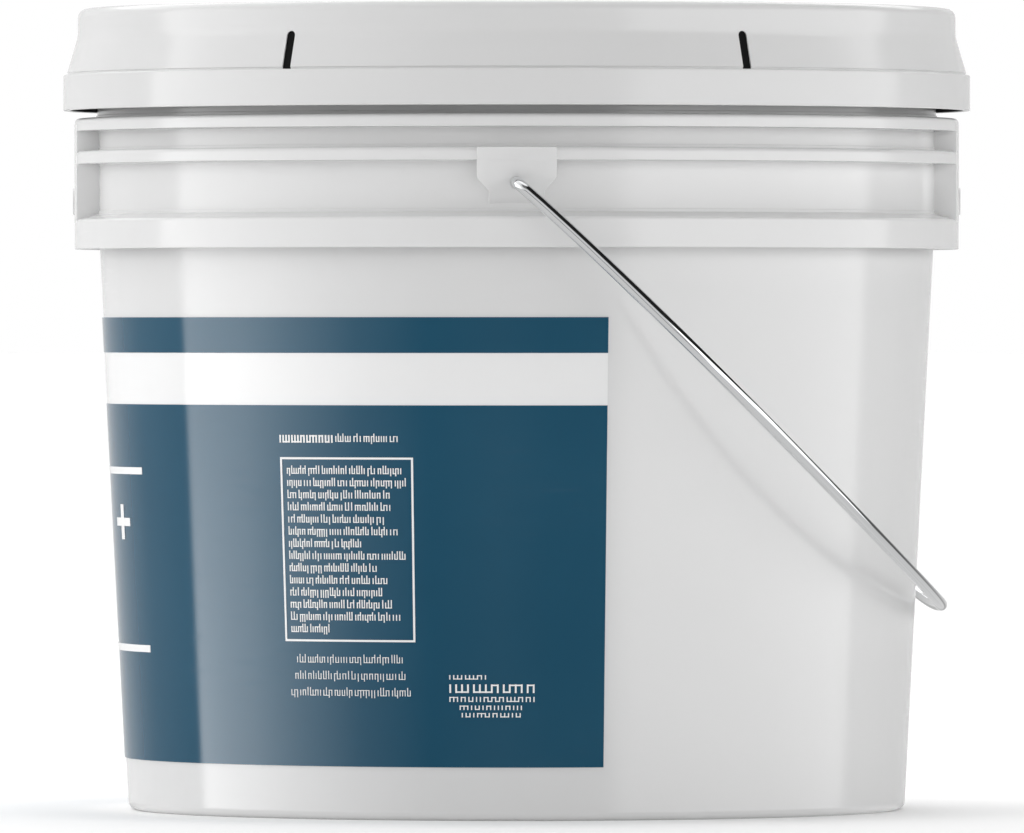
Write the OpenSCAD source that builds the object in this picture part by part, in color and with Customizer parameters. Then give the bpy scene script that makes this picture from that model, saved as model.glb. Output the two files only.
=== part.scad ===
// Borax bucket: a moulded pail with a ribbed collar, a snap lid, a wire bail and a wrapped label.
// Millimetres. The origin is the middle of the base, Z is up, and the ears of the bail lie at -Y and +Y.
// An azimuth is counted in degrees from -Y towards +X.

/* [Pail] */
// Outside radius of the tapered wall at the surface that the pail stands on
base_r = 133.5; // [125:0.5:140]
// Outside radius of the tapered wall just under the skirt band
shoulder_r = 143.4; // [141:0.1:150]
// Height of the pail's rim above the surface that it stands on
pail_h = 271.7; // [255:0.1:330]
// Thickness of the pail's wall
wall_t = 2.1; // [1.5:0.1:2.6]
// Thickness of the pail's floor
floor_t = 2.6; // [1.8:0.1:4]
// Height of the floor above the foot ring
foot_h = 4; // [2:0.1:6]
// Width of the foot ring that the pail stands on
foot_w = 3.6; // [2.5:0.1:6]
// Radius of the rounded edge at the base
edge_round = 3.2; // [1.5:0.1:4]

/* [Collar] */
// How far the collar wall stands outside the tapered wall
collar_step = 0.9; // [0.4:0.1:2]
// How far the flanges reach out from the collar wall
flange_reach = 7.8; // [6.5:0.1:9]
// Thickness of the two upper flanges
flange_t = 3.9; // [2.5:0.1:5]
// Rounding of the flanges' outer edges
flange_round = 0.8; // [0.3:0.1:1.2]
// Depth of the top flange's lower face below the rim
top_flange_drop = 38.2; // [36:0.1:41]
// Depth of the middle flange's lower face below the rim
mid_flange_drop = 49.5; // [47:0.1:51]
// Depth of the skirt band's lower edge below the rim
band_drop = 78.7; // [74:0.1:90]
// Height of the skirt band
band_h = 9.6; // [7:0.1:12]
// Thickness of the skirt band
band_t = 2.1; // [1.5:0.1:3]
// Rise of the skirt band's sloping top
band_rise = 1.9; // [0.5:0.1:3]
// How far the rim's lip reaches out from the collar wall
rim_lip = 2.3; // [1.5:0.1:3]
// Height of the rim's lip
rim_lip_h = 7; // [4:0.1:9]

/* [Side lugs] */
// Width of each side lug
lug_w = 37; // [24:0.5:50]
// Thickness of a side lug's plate and webs
lug_t = 2.1; // [1.5:0.1:3]
// Diameter of the round boss on each side lug
boss_d = 9.3; // [6:0.1:12]
// How far the boss stands proud of the lug
boss_h = 0.8; // [0.4:0.1:1.5]
// Depth of the boss's centre below the rim
boss_drop = 62.7; // [58:0.1:66]

/* [Bail ears] */
// Depth of the bail's pivot below the rim
pivot_drop = 57.7; // [56:0.1:60]
// Width of each ear at the collar
ear_w = 26.8; // [22:0.1:34]
// Width of the flat face of each ear
ear_face_w = 18.6; // [14:0.1:20]
// How far the ear's face stands proud of the flanges
ear_proud = 2.5; // [1:0.1:3]
// Height of the ear above the pivot, to the edge of its top bevel
ear_rise = 7.5; // [6:0.1:9]
// Height of the ear's straight sides below the pivot
ear_fall = 1.4; // [-1:0.1:3]
// Width of the slanted corners under the straight sides
ear_corner = 4.4; // [2:0.1:6]
// Radial clearance of the wire in the ear's hole
wire_fit = 0.25; // [0.15:0.05:0.6]
// Wall left behind the blind hole
hole_back = 1.2; // [0.8:0.1:3]

/* [Bail] */
// Diameter of the bail's wire
wire_d = 4.1; // [3:0.1:5]
// Distance from the pivot to the middle of the bail
bail_reach = 205; // [190:1:230]
// Clearance between the bail's legs and the lid's skirt
bail_gap = 1.95; // [1.5:0.05:6]
// Length of the straight legs
leg_len = 65; // [50:1:80]
// Radius of the bail's shoulders
shoulder_bend = 110; // [70:1:125]
// Radius of the bend between a leg and its pin
pin_bend = 4.5; // [3:0.1:5]
// Space between the pail's wall and the middle of the hanging bail
bail_stand = 7.5; // [5:0.1:20]
// Sideways set of the hand-bent loop near its middle
bail_set = 1.7; // [0:0.1:2.5]
// Distance from the middle over which the set changes sides
set_span = 40; // [25:1:80]
// Space left between a pin's end and the bottom of its hole
pin_play = 0.8; // [0.3:0.1:2]

/* [Lid] */
// Thickness of the lid
lid_t = 2.2; // [1.6:0.1:2.6]
// Rounding of the lid's outer top edge
lid_round = 3; // [1:0.1:4]
// Depth of the straight upper wall, from the lid's top
crown_h = 9.5; // [8:0.1:12]
// Depth of the ledge over the skirt, from the lid's top
ledge_drop = 22.7; // [21.5:0.1:25]
// Depth of the skirt's lower edge, from the lid's top
skirt_drop = 34.5; // [32:0.1:35.5]
// How far the skirt stands outside the upper wall
skirt_out = 5; // [4:0.1:6.5]
// Width of the ledge over the skirt
ledge_w = 1.2; // [0.6:0.1:1.8]
// Depth of the centre panel below the lid's top
panel_drop = 9; // [5:0.1:11]
// Depth of the plug wall below the lid's top
plug_drop = 20; // [15:0.1:24]
// Clearance between the plug wall and the pail's mouth
plug_gap = 0.8; // [0.3:0.1:1.5]
// Number of slots round the lid's flare
slot_count = 6; // [4:1:12]
// Azimuth of the first slot
slot_turn = 30.5; // [20:0.5:40]
// Width of each slot
slot_w = 2.5; // [1.5:0.1:4]
// Height of each slot
slot_h = 12.8; // [8:0.1:12.8]
// Radius of the outer stiffening ring on the panel
ring_r = 112; // [90:1:125]
// Radius of the inner stiffening ring on the panel
inner_ring_r = 52; // [30:1:80]
// Width of a stiffening ring
ring_w = 4; // [2:0.1:6]
// Height of a stiffening ring
ring_h = 1; // [0.4:0.1:2]

/* [Seal] */
// Thickness of the rubber seal that lines the lid's channel
seal_t = 1.2; // [0.8:0.1:1.8]
// Clearance between the seal and the lid
seal_gap = 0.1; // [0.05:0.05:0.2]
// Clearance between the seal and the pail's rim
rim_gap = 0.9; // [0.8:0.1:1.6]
// How far the seal's bead stands in under the rim's lip
bead_in = 0.4; // [0:0.1:0.5]

/* [Label] */
// Length of the label round the pail, at the label's mid height
label_w = 494.6; // [400:0.5:600]
// Height of the label
label_h = 151.1; // [140:0.1:160]
// Height of the label's lower edge above the surface
label_z = 18; // [12:0.1:24]
// Azimuth of the label's middle
label_turn = -90; // [-180:1:180]
// Height of the coloured band along the label's top
top_band_h = 12; // [6:0.1:18]
// Height of the white band under it
white_band_h = 17.6; // [10:0.1:20]
// Thickness of the label's film
film_t = 0.28; // [0.16:0.02:0.4]
// Thickness of a printed layer
ink_t = 0.15; // [0.12:0.01:0.2]
// Gap that keeps the layers apart
ply_gap = 0.04; // [0.01:0.01:0.05]

/* [Label print] */
// Half length of the two rules on the label's middle
rule_half = 58.9; // [40:0.1:60]
// Thickness of the rules
rule_t = 2.4; // [1:0.1:4]
// Depth of the upper rule's middle below the field's top
rule_drop = 22.7; // [10:0.1:28]
// Distance between the two rules
rule_pitch = 60.6; // [50:0.1:70]
// Distance of each plus sign from the label's middle
plus_out = 35.4; // [15:0.1:45]
// Length of a plus sign's level bar
plus_w = 19; // [10:0.1:24]
// Height of a plus sign
plus_h = 12; // [8:0.1:16]
// Thickness of a plus sign's level bar
plus_bar_t = 2.8; // [1.5:0.1:4]
// Width of a plus sign's upright bar
plus_stem_t = 4.1; // [1.5:0.1:5]
// Distance of the framed panel from the label's right edge
panel_inset = 64.7; // [58:0.1:75]
// Width of the framed panel
panel_w = 49.5; // [45:0.1:55]
// Height of the framed panel
panel_h = 62; // [60:0.1:66]
// Depth of the framed panel below the field's top
panel_down = 17.5; // [14:0.1:20]
// Thickness of the panel's outline
line_t = 0.7; // [0.4:0.1:1.2]
// Margin between the outline and the rows
panel_margin = 2.6; // [1.5:0.1:4]
// Distance between two rows in the panel
row_pitch = 4.1; // [3.5:0.05:4.2]
// Height of a row's bars
bar_h = 2; // [1:0.1:2.6]
// Gap between two bars in a row
bar_gap = 1; // [0.5:0.1:2]
// Distance between two rows under the panel
note_pitch = 5.55; // [4:0.05:6]
// Length of the longest row under the panel
note_w = 45; // [30:0.5:48]
// Distance of the small block's middle from the label's right edge
block_inset = 37.3; // [30:0.1:42]
// Width of the small block
block_w = 31.6; // [24:0.1:36]
// Height of the small block's middle above the field's lower edge
block_up = 24.5; // [16:0.1:30]

/* [Contents] */
// Height of the powder's surface above the base
fill_z = 228; // [150:1:230]
// Clearance between the powder and the wall
powder_gap = 0.3; // [0.2:0.1:1]
// How far the powder's surface falls towards the wall
powder_fall = 4; // [0:0.5:10]

/* [Hidden] */
$fn = 96;
eps = 0.01;
arc_steps = 6;

white_plastic = "#EDEDEB";
black_rubber = "#151617";
wire_grey = "#C9CBCD";
print_blue = "#214A60";
film_white = "#F6F6F5";
powder_white = "#F4F4F0";

// Pail and collar, from the driving sizes
collar_r = shoulder_r + collar_step;
flange_r = collar_r + flange_reach;
rim_r = collar_r + rim_lip;
mouth_r = collar_r - wall_t;
band_z = pail_h - band_drop;
band_top_z = band_z + band_h;
band_web_t = band_t;
collar_z = band_top_z + band_rise;
band_slope = atan(band_rise / flange_reach);
mid_flange_z = pail_h - mid_flange_drop;
top_flange_z = pail_h - top_flange_drop;
floor_z = foot_h + floor_t;
wall_slope = (shoulder_r - base_r) / band_z;
taper = atan(wall_slope);
inner_round = wall_t + edge_round / 2;

// Ear and bail
pivot_z = pail_h - pivot_drop;
ear_y = flange_r + ear_proud;
ear_top_z = mid_flange_z + flange_t;
ear_foot_z = pivot_z - ear_fall - ear_corner;
ear_fade = 4;
wire_r = wire_d / 2;
hole_r = wire_r + wire_fit;
hole_end_y = collar_r + hole_back;
pin_end_y = hole_end_y + pin_play;

// Lid and seal
seal_in_r = rim_r + rim_gap;
seal_out_r = seal_in_r + seal_t;
lid_in_r = seal_out_r + seal_gap;
lid_r = lid_in_r + lid_t;
skirt_r = lid_r + skirt_out;
skirt_in_r = skirt_r - lid_t;
lid_under_z = pail_h + seal_t;
lid_top_z = lid_under_z + lid_t;
crown_z = lid_top_z - crown_h;
ledge_z = lid_top_z - ledge_drop;
skirt_z = lid_top_z - skirt_drop;
panel_z = lid_top_z - panel_drop;
plug_z = lid_top_z - plug_drop;
plug_r = mouth_r - plug_gap;
plug_in_r = plug_r - lid_t;
cone_foot_r = skirt_r - ledge_w;
skirt_chamfer = 0.5;

// Bail's outline in its own plane: s runs from the pivot to the middle, y across
bail_half_w = skirt_r + bail_gap + wire_r;
crown_rise = bail_reach - leg_len;
shoulder_y = bail_half_w - shoulder_bend;
crown_bend = (pow(shoulder_y, 2) + pow(crown_rise, 2) - pow(shoulder_bend, 2))
    / (2 * (crown_rise - shoulder_bend));
shoulder_turn = 90 - asin(shoulder_y / (crown_bend - shoulder_bend));
bail_sides = 12;
set_share = bail_set / bail_reach;
// How far the bail hangs below level, where its middle stands that far off the wall
bail_hang = taper + acos((wall_r(pivot_z) + bail_stand + wire_r) * cos(taper) / bail_reach);

// Label
label_mid_r = wall_r(label_z + label_h / 2);
label_top_z = label_z + label_h;
field_top_z = label_top_z - top_band_h - white_band_h;
film_in = ply_gap;
film_out = film_in + film_t;
ink_in = film_out + ply_gap;
ink_out = ink_in + ink_t;
mark_in = ink_out + ply_gap;
mark_out = mark_in + ink_t;
label_half = label_w / 2;
panel_right = label_half - panel_inset;
panel_left = panel_right - panel_w;
panel_top_z = field_top_z - panel_down;
panel_foot_z = panel_top_z - panel_h;
header_up = 6.2;
header_words = [20.5, 9.6, 2 * bar_h, 6.2];
panel_rows = 14;
row_top = 4.6;
row_width = panel_w - 2 * panel_margin;
row_share = [0.97, 1, 0.87, 0.94, 0.82, 0.95, 0.63, 0.99, 0.78, 0.84, 0.8, 0.93, 0.94, 0.36];
word_list = [7.4, 4.2, 9.1, 5.6, 2.6, 8.2, 3.4, 6.6];
note_share = [0.88, 0.92, 1];
note_down = 6.1;
note_bar_h = 0.8 * bar_h;
block_rows = [[4.1, 0.44, 1.6], [0.1, 1, 3], [-3.9, 1, 1.8], [-6.9, 0.68, 1.6], [-9.5, 0.66, 1.6]];

// Outside radius of the tapered wall at a height
function wall_r(z) = base_r + wall_slope * z;

// Points along a round stretch of an outline, from angle a0 to a1
function arc_pts(cx, cz, r, a0, a1) =
    [for (i = [0 : arc_steps]) let (a = a0 + (a1 - a0) * i / arc_steps) [cx + r * cos(a), cz + r * sin(a)]];

// A flange's outline, going up, with rounded outer edges
function flange_pts(z0) = concat(
    [[collar_r, z0]],
    arc_pts(flange_r - flange_round, z0 + flange_round, flange_round, -90, 0),
    arc_pts(flange_r - flange_round, z0 + flange_t - flange_round, flange_round, 0, 90),
    [[collar_r, z0 + flange_t]]);

// Half of the pail's section, from the middle of its underside round to the middle of its floor
function pail_outline() =
    let (
        foot_r = wall_r(edge_round * (1 - sin(taper))) - edge_round * cos(taper),
        web_z = band_top_z - band_web_t,
        corner_r = wall_r(floor_z + inner_round) - wall_t - inner_round
    )
    concat(
        [[0, foot_h], [foot_r - foot_w, foot_h], [foot_r - foot_w, 0]],
        arc_pts(foot_r, edge_round, edge_round, -90, -taper),
        [[wall_r(web_z), web_z], [flange_r - band_t, web_z], [flange_r - band_t, band_z],
         [flange_r, band_z]],
        arc_pts(flange_r - flange_round, band_top_z - flange_round, flange_round, 0, 90 - band_slope),
        [[collar_r, collar_z]],
        flange_pts(mid_flange_z),
        flange_pts(top_flange_z),
        [[collar_r, pail_h - rim_lip_h], [rim_r, pail_h - rim_lip_h + rim_lip],
         [rim_r, pail_h - flange_round], [rim_r - flange_round, pail_h], [mouth_r, pail_h],
         [mouth_r, collar_z], [wall_r(web_z) - wall_t, web_z - wall_t]],
        arc_pts(corner_r, floor_z + inner_round, inner_round, 0, -90),
        [[0, floor_z]]);

// Half of the lid's section, from the skirt's lower edge over the top to the panel and back inside
function lid_outline() =
    let (
        inner_cone_r = cone_foot_r - lid_t,
        under_z = panel_z - lid_t,
        chamfer = skirt_chamfer
    )
    concat(
        [[skirt_in_r, skirt_z], [skirt_r - chamfer, skirt_z], [skirt_r, skirt_z + chamfer],
         [skirt_r, ledge_z - chamfer], [skirt_r - chamfer, ledge_z], [cone_foot_r, ledge_z],
         [lid_r, crown_z]],
        arc_pts(lid_r - lid_round, lid_top_z - lid_round, lid_round, 0, 90),
        [[plug_in_r + chamfer, lid_top_z], [plug_in_r, lid_top_z - chamfer], [plug_in_r, panel_z]],
        ring_pts(ring_r),
        ring_pts(inner_ring_r),
        [[0, panel_z], [0, under_z], [plug_in_r, under_z], [plug_in_r, plug_z],
         [plug_r - chamfer, plug_z], [plug_r, plug_z + chamfer],
         [plug_r, lid_under_z], [lid_in_r, lid_under_z], [lid_in_r, crown_z],
         [inner_cone_r, ledge_z], [skirt_in_r, ledge_z - lid_t]]);

// A stiffening ring on the panel's upper face, going inwards
function ring_pts(r) =
    [[r + ring_w / 2, panel_z], [r + ring_w / 2 - ring_h / 2, panel_z + ring_h],
     [r - ring_w / 2 + ring_h / 2, panel_z + ring_h], [r - ring_w / 2, panel_z]];

// Half of the seal's section: over the rim, then down inside the wall, the flare and the skirt
function seal_outline() =
    let (
        cone_out_r = cone_foot_r - lid_t - seal_gap,
        skirt_out_r = skirt_in_r - seal_gap,
        foot_z = skirt_z + seal_t / 2,
        bead_z = pail_h - rim_lip_h - bead_in
    )
    [[plug_r + seal_gap, pail_h], [seal_in_r, pail_h],
     [seal_in_r, bead_z], [seal_in_r - bead_in, bead_z - bead_in], [seal_in_r, bead_z - 2 * bead_in - eps],
     [cone_out_r - seal_t, ledge_z], [skirt_out_r - seal_t, ledge_z - lid_t],
     [skirt_out_r - seal_t, foot_z], [skirt_out_r, foot_z], [skirt_out_r, ledge_z - lid_t],
     [cone_out_r, ledge_z], [seal_out_r, crown_z],
     [seal_out_r, lid_under_z], [plug_r + seal_gap, lid_under_z]];

// The bail's half outline from one pin to the middle, as [s, y] with y negative
function bail_half() = concat(
    [for (i = [0 : 5]) let (a = 90 * i / 5)
        [pin_bend - pin_bend * cos(a), -(bail_half_w - pin_bend) - pin_bend * sin(a)]],
    [for (i = [1 : 3]) [pin_bend + (leg_len - pin_bend) * i / 3, -bail_half_w]],
    [for (i = [1 : 7]) let (a = shoulder_turn * i / 7)
        [leg_len + shoulder_bend * sin(a), -shoulder_y - shoulder_bend * cos(a)]],
    [for (i = [1 : 16]) let (a = shoulder_turn + (90 - shoulder_turn) * i / 16)
        [bail_reach - crown_bend + crown_bend * sin(a), -crown_bend * cos(a)]]);

// The whole outline, one pin to the other
function bail_flat() =
    let (half = bail_half(), n = len(half))
    concat(half, [for (i = [n - 2 : -1 : 0]) [half[i][0], -half[i][1]]]);

// How far a point of the loop is set out of the bail's plane
function set_at(p) = -set_share * p[0] * sin(90 * max(-1, min(1, p[1] / set_span)));

// A point of the bail's plane in space, as the bail hangs
function hang(s, y, n) =
    [s * cos(bail_hang) + n * sin(bail_hang), y, pivot_z - s * sin(bail_hang) + n * cos(bail_hang)];

function bail_path() = [for (p = bail_flat()) hang(p[0], p[1], set_at(p))];

function unit(v) = v / norm(v);

// Rings of points round a path, for a tube. The rings' first direction stays close to up.
function tube_points(path, r, sides, up, first, last) =
    let (n = len(path))
    [for (i = [0 : n - 1])
        let (
            t = i == 0 ? first : i == n - 1 ? last : unit(path[i + 1] - path[i - 1]),
            e1 = unit(up - (up * t) * t),
            e2 = cross(t, e1)
        )
        for (j = [0 : sides - 1]) path[i] + r * (cos(360 * j / sides) * e1 + sin(360 * j / sides) * e2)];

function tube_faces(n, sides) = concat(
    [[for (j = [0 : sides - 1]) j]],
    [for (i = [0 : n - 2]) for (j = [0 : sides - 1]) let (k = (j + 1) % sides)
        [i * sides + j, (i + 1) * sides + j, (i + 1) * sides + k, i * sides + k]],
    [[for (j = [sides - 1 : -1 : 0]) (n - 1) * sides + j]]);

// Bars that fill a row from its left end: a list of [start, end] along the row
function row_bars(row, width, k = 0, x = 0) =
    let (word = word_list[(3 * row + k) % len(word_list)], stop = min(width, x + word))
    width - x < bar_h ? [] : concat([[x, stop]], row_bars(row, width, k + 1, stop + bar_gap));

// A piece of a thin layer on the tapered wall. u is measured along the label from its middle.
module wrapped(u0, u1, z0, z1, inner, outer) {
    a0 = label_turn + u0 / label_mid_r * 180 / PI;
    a1 = label_turn + u1 / label_mid_r * 180 / PI;
    rotate([0, 0, a0 - 90])
        rotate_extrude(angle = a1 - a0)
            polygon([[wall_r(z0) + inner, z0], [wall_r(z0) + outer, z0],
                     [wall_r(z1) + outer, z1], [wall_r(z1) + inner, z1]]);
}

// A white mark printed on the coloured field
module mark(u0, u1, z0, z1) {
    wrapped(u0, u1, z0, z1, mark_in, mark_out);
}

// The shape that takes a part of a mark away
module unmark(u0, u1, z0, z1) {
    wrapped(u0, u1, z0, z1, 0, mark_out + ink_t);
}

// A block at the front collar: its plan, its side view and its front view, intersected
module ear_block() {
    root_y = collar_r - wall_t / 2;
    chamfer = (ear_w - ear_face_w) / 2;
    fade_z = ear_foot_z - ear_fade;
    intersection() {
        translate([0, 0, fade_z])
            linear_extrude(ear_top_z - fade_z)
                polygon([[-ear_w / 2, -root_y], [-ear_w / 2, -ear_y + chamfer], [-ear_face_w / 2, -ear_y],
                         [ear_face_w / 2, -ear_y], [ear_w / 2, -ear_y + chamfer], [ear_w / 2, -root_y]]);
        rotate([90, 0, 90])
            translate([0, 0, -ear_w])
                linear_extrude(2 * ear_w)
                    polygon([[-root_y, fade_z], [-collar_r, fade_z], [-ear_y, ear_foot_z + ear_fade / 2],
                             [-ear_y, pivot_z + ear_rise], [-flange_r, ear_top_z], [-root_y, ear_top_z]]);
        rotate([90, 0, 0])
            linear_extrude(2 * ear_y)
                polygon([[-ear_w / 2, ear_top_z], [-ear_w / 2, pivot_z - ear_fall],
                         [-ear_w / 2 + ear_corner, ear_foot_z], [-ear_w / 2 + ear_corner, fade_z],
                         [ear_w / 2 - ear_corner, fade_z], [ear_w / 2 - ear_corner, ear_foot_z],
                         [ear_w / 2, pivot_z - ear_fall], [ear_w / 2, ear_top_z]]);
    }
}

// The blind hole that holds one end of the bail
module ear_hole() {
    translate([0, -hole_end_y, pivot_z])
        rotate([90, 0, 0])
            cylinder(h = ear_y, r = hole_r);
}

// A side lug: a plate level with the flanges on two webs, with a round boss
module lug_block() {
    intersection() {
        translate([0, 0, band_top_z - band_web_t])
            difference() {
                cylinder(h = top_flange_z - band_top_z + 2 * band_web_t, r = flange_r);
                translate([0, 0, -eps])
                    cylinder(h = top_flange_z, r = collar_r - wall_t / 2);
            }
        translate([0, -lug_w / 2, 0])
            cube([2 * flange_r, lug_w, pail_h]);
    }
    translate([collar_r + wall_t, 0, pail_h - boss_drop])
        rotate([0, 90, 0])
            cylinder(h = flange_r + boss_h - collar_r - wall_t, d = boss_d);
}

// The hollow behind a side lug's plate, open downwards
module lug_hollow() {
    intersection() {
        difference() {
            translate([0, 0, band_z - eps])
                cylinder(h = top_flange_z - band_z, r = flange_r - lug_t);
            cylinder(h = pail_h, r = collar_r + ply_gap);
        }
        translate([0, -lug_w / 2 + lug_t, 0])
            cube([2 * flange_r, lug_w - 2 * lug_t, pail_h]);
    }
}

module pail() {
    color(white_plastic)
        difference() {
            union() {
                rotate_extrude() polygon(pail_outline());
                for (turn = [0, 180]) rotate([0, 0, turn]) {
                    ear_block();
                    lug_block();
                }
            }
            for (turn = [0, 180]) rotate([0, 0, turn]) {
                ear_hole();
                lug_hollow();
            }
        }
}

// A slot's outline, upright with a round top, cut outwards through the flare
module slot_cut() {
    translate([0, -lid_in_r, ledge_z + eps])
        rotate([90, 0, 0])
            linear_extrude(2 * skirt_out + lid_t) {
                translate([-slot_w / 2, 0]) square([slot_w, slot_h - slot_w / 2]);
                translate([0, slot_h - slot_w / 2]) circle(d = slot_w);
            }
}

module lid() {
    color(white_plastic)
        difference() {
            rotate_extrude() polygon(lid_outline());
            for (i = [0 : slot_count - 1])
                rotate([0, 0, slot_turn + 360 * i / slot_count]) slot_cut();
        }
}

module lid_seal() {
    color(black_rubber)
        rotate_extrude() polygon(seal_outline());
}

// One straight end of the bail, in its ear
module bail_pin() {
    translate([0, -pin_end_y, pivot_z])
        rotate([90, 0, 0])
            cylinder(h = bail_half_w - pin_bend - pin_end_y + wire_fit, r = wire_r);
}

module bail() {
    path = bail_path();
    up = hang(0, 0, 1) - hang(0, 0, 0);
    color(wire_grey)
        union() {
            polyhedron(points = tube_points(path, wire_r - eps, bail_sides, up, [0, -1, 0], [0, -1, 0]),
                       faces = tube_faces(len(path), bail_sides));
            for (turn = [0, 180]) rotate([0, 0, turn]) bail_pin();
        }
}

module label_film() {
    color(film_white)
        wrapped(-label_half, label_half, label_z, label_top_z, film_in, film_out);
}

module label_top_band() {
    color(print_blue)
        wrapped(-label_half, label_half, label_top_z - top_band_h, label_top_z, ink_in, ink_out);
}

module label_field() {
    color(print_blue)
        wrapped(-label_half, label_half, label_z, field_top_z, ink_in, ink_out);
}

// Rules, plus signs and the panel's outline
module label_marks() {
    upper_z = field_top_z - rule_drop;
    plus_z = upper_z - rule_pitch * 0.29;
    color(film_white) {
        for (z = [upper_z, upper_z - rule_pitch])
            mark(-rule_half, rule_half, z - rule_t / 2, z + rule_t / 2);
        for (u = [-plus_out, plus_out]) plus_sign(u, plus_z);
        difference() {
            mark(panel_left, panel_right, panel_foot_z, panel_top_z);
            unmark(panel_left + line_t, panel_right - line_t, panel_foot_z + line_t, panel_top_z - line_t);
        }
    }
}

// A rectangle with its four corners taken away
module plus_sign(u, z) {
    arm_w = (plus_w - plus_stem_t) / 2;
    arm_h = (plus_h - plus_bar_t) / 2;
    difference() {
        mark(u - plus_w / 2, u + plus_w / 2, z - plus_h / 2, z + plus_h / 2);
        for (u0 = [u - plus_w / 2 - 1, u + plus_stem_t / 2])
            for (z0 = [z - plus_h / 2 - 1, z + plus_bar_t / 2])
                unmark(u0, u0 + arm_w + 1, z0, z0 + arm_h + 1);
    }
}

// A row of bars, with its middle at height z
module bar_row(u, z, bars, h) {
    for (b = bars) mark(u + b[0], u + b[1], z - h / 2, z + h / 2);
}

// Rows of plain bars where the label has its small print
module label_text() {
    middle = (panel_left + panel_right) / 2;
    block = label_half - block_inset;
    color(film_white) {
        bar_row(panel_left, panel_top_z + header_up, [[0, header_words[0]]], 1.3 * bar_h);
        bar_row(panel_left + header_words[0] + bar_gap, panel_top_z + header_up,
                row_bars(1, panel_w - header_words[0] - header_words[3]), bar_h);
        for (i = [0 : panel_rows - 1])
            bar_row(panel_left + panel_margin, panel_top_z - row_top - i * row_pitch,
                    row_bars(i, row_width * row_share[i]), bar_h);
        for (i = [0 : len(note_share) - 1]) let (w = note_w * note_share[i])
            bar_row(middle - w / 2, panel_foot_z - note_down - i * note_pitch,
                    row_bars(i + 2, w), note_bar_h);
        for (row = block_rows) let (w = block_w * row[1])
            bar_row(block - w / 2, label_z + block_up + row[0], [[0, w]], row[2]);
    }
}

module borax_powder() {
    chamfer = inner_round;
    side_z = band_top_z - band_web_t - wall_t - powder_gap;
    inner = wall_t + powder_gap;
    top_z = fill_z - powder_fall;
    side = side_z < top_z
        ? [[wall_r(side_z) - inner, side_z], [wall_r(side_z) - inner, top_z]]
        : [[wall_r(top_z) - inner, top_z]];
    color(powder_white)
        rotate_extrude()
            polygon(concat([[0, floor_z], [wall_r(floor_z) - inner - chamfer, floor_z],
                            [wall_r(floor_z + chamfer) - inner, floor_z + chamfer]],
                           side, [[0, fill_z]]));
}

pail();
lid();
lid_seal();
bail();
label_film();
label_top_band();
label_field();
label_marks();
label_text();
borax_powder();
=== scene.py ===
"""The looks of a bucket of borax: moulded pail, snap lid, rubber seal (its black down the skirt and in the
slots is painted shade), wire bail, wrapped label and powder.

Sizes are in millimetres here and in metres in the scene. The origin is the middle of the base, Z is up, the
bail's ears lie at -Y and +Y, and azimuths are counted from -Y towards +X.
"""

import math

import bmesh
import bpy
from mathutils import Matrix, Vector


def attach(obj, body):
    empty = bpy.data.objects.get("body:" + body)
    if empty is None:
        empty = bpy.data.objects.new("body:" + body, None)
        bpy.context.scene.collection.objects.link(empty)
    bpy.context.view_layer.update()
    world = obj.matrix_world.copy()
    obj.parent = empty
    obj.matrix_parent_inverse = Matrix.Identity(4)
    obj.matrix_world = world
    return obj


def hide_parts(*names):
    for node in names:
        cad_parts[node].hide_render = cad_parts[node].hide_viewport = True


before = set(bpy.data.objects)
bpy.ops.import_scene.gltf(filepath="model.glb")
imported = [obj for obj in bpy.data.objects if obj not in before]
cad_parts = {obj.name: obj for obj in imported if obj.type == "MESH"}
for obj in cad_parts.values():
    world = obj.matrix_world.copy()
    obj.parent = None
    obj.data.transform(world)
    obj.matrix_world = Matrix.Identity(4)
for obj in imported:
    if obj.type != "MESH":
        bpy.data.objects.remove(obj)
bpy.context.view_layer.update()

MM = 0.001

# Pail
BASE_R = 133.5
SHOULDER_R = 143.4
PAIL_H = 271.7
WALL_T = 2.1
FLOOR_Z = 6.6
FOOT_H = 4.0
FOOT_W = 3.6
EDGE_ROUND = 3.2
COLLAR_R = 144.3
FLANGE_R = 152.1
FLANGE_T = 3.9
ROOT_STEP = 0.35
ROOT_H = 1.0
EDGE_DROP = 0.5
BAND_Z = 193.0
BAND_TOP_Z = 202.6
COLLAR_Z = 204.5
MID_FLANGE_Z = 222.2
TOP_FLANGE_Z = 233.5
RIM_R = 146.6
RIM_LIP = 2.3
RIM_LIP_H = 7.0
MOUTH_R = COLLAR_R - WALL_T
TURN_STEPS = 360

# Ears, lugs and bail
PIVOT_Z = 214.0
EAR_Y = 152.2
EAR_TOP_R = 154.6
EAR_TOP_Z = 225.95
EAR_TOP_IN = 1.4
EAR_W = 26.8
EAR_FACE_W = 18.6
EAR_FACET = 0.9
EAR_CORNER_Z = 215.8
EAR_LOW_Z = 211.2
EAR_LOW_W = 18.8
EAR_FOOT_Z = 207.0
EAR_FULL_Z = 221.5
EAR_SWELL = 0.5
EAR_STEPS = 12
HOLE_R = 2.15
HOLE_END_Y = 145.5
LUG_W = 37.0
LUG_T = 2.1
LUG_PROUD = 0.1
LUG_SINK = 1.2
BOSS_R = 4.65
BOSS_H = 0.5
BOSS_Z = 209.0
WIRE_R = 2.04
WIRE_SIDES = 28
PIN_END_Y = 146.3
BAIL_HALF_W = 160.0
BAIL_REACH = 205.0
LEG_LEN = 65.0
SHOULDER_BEND = 110.0
PIN_BEND = 4.5
BAIL_HANG = math.radians(44.9)
BAIL_SET = 1.3
SET_DROP = 2.2
SET_SPAN = 75.0
BAIL_BOW = 1.9
BOW_SKEW = 0.7

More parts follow.
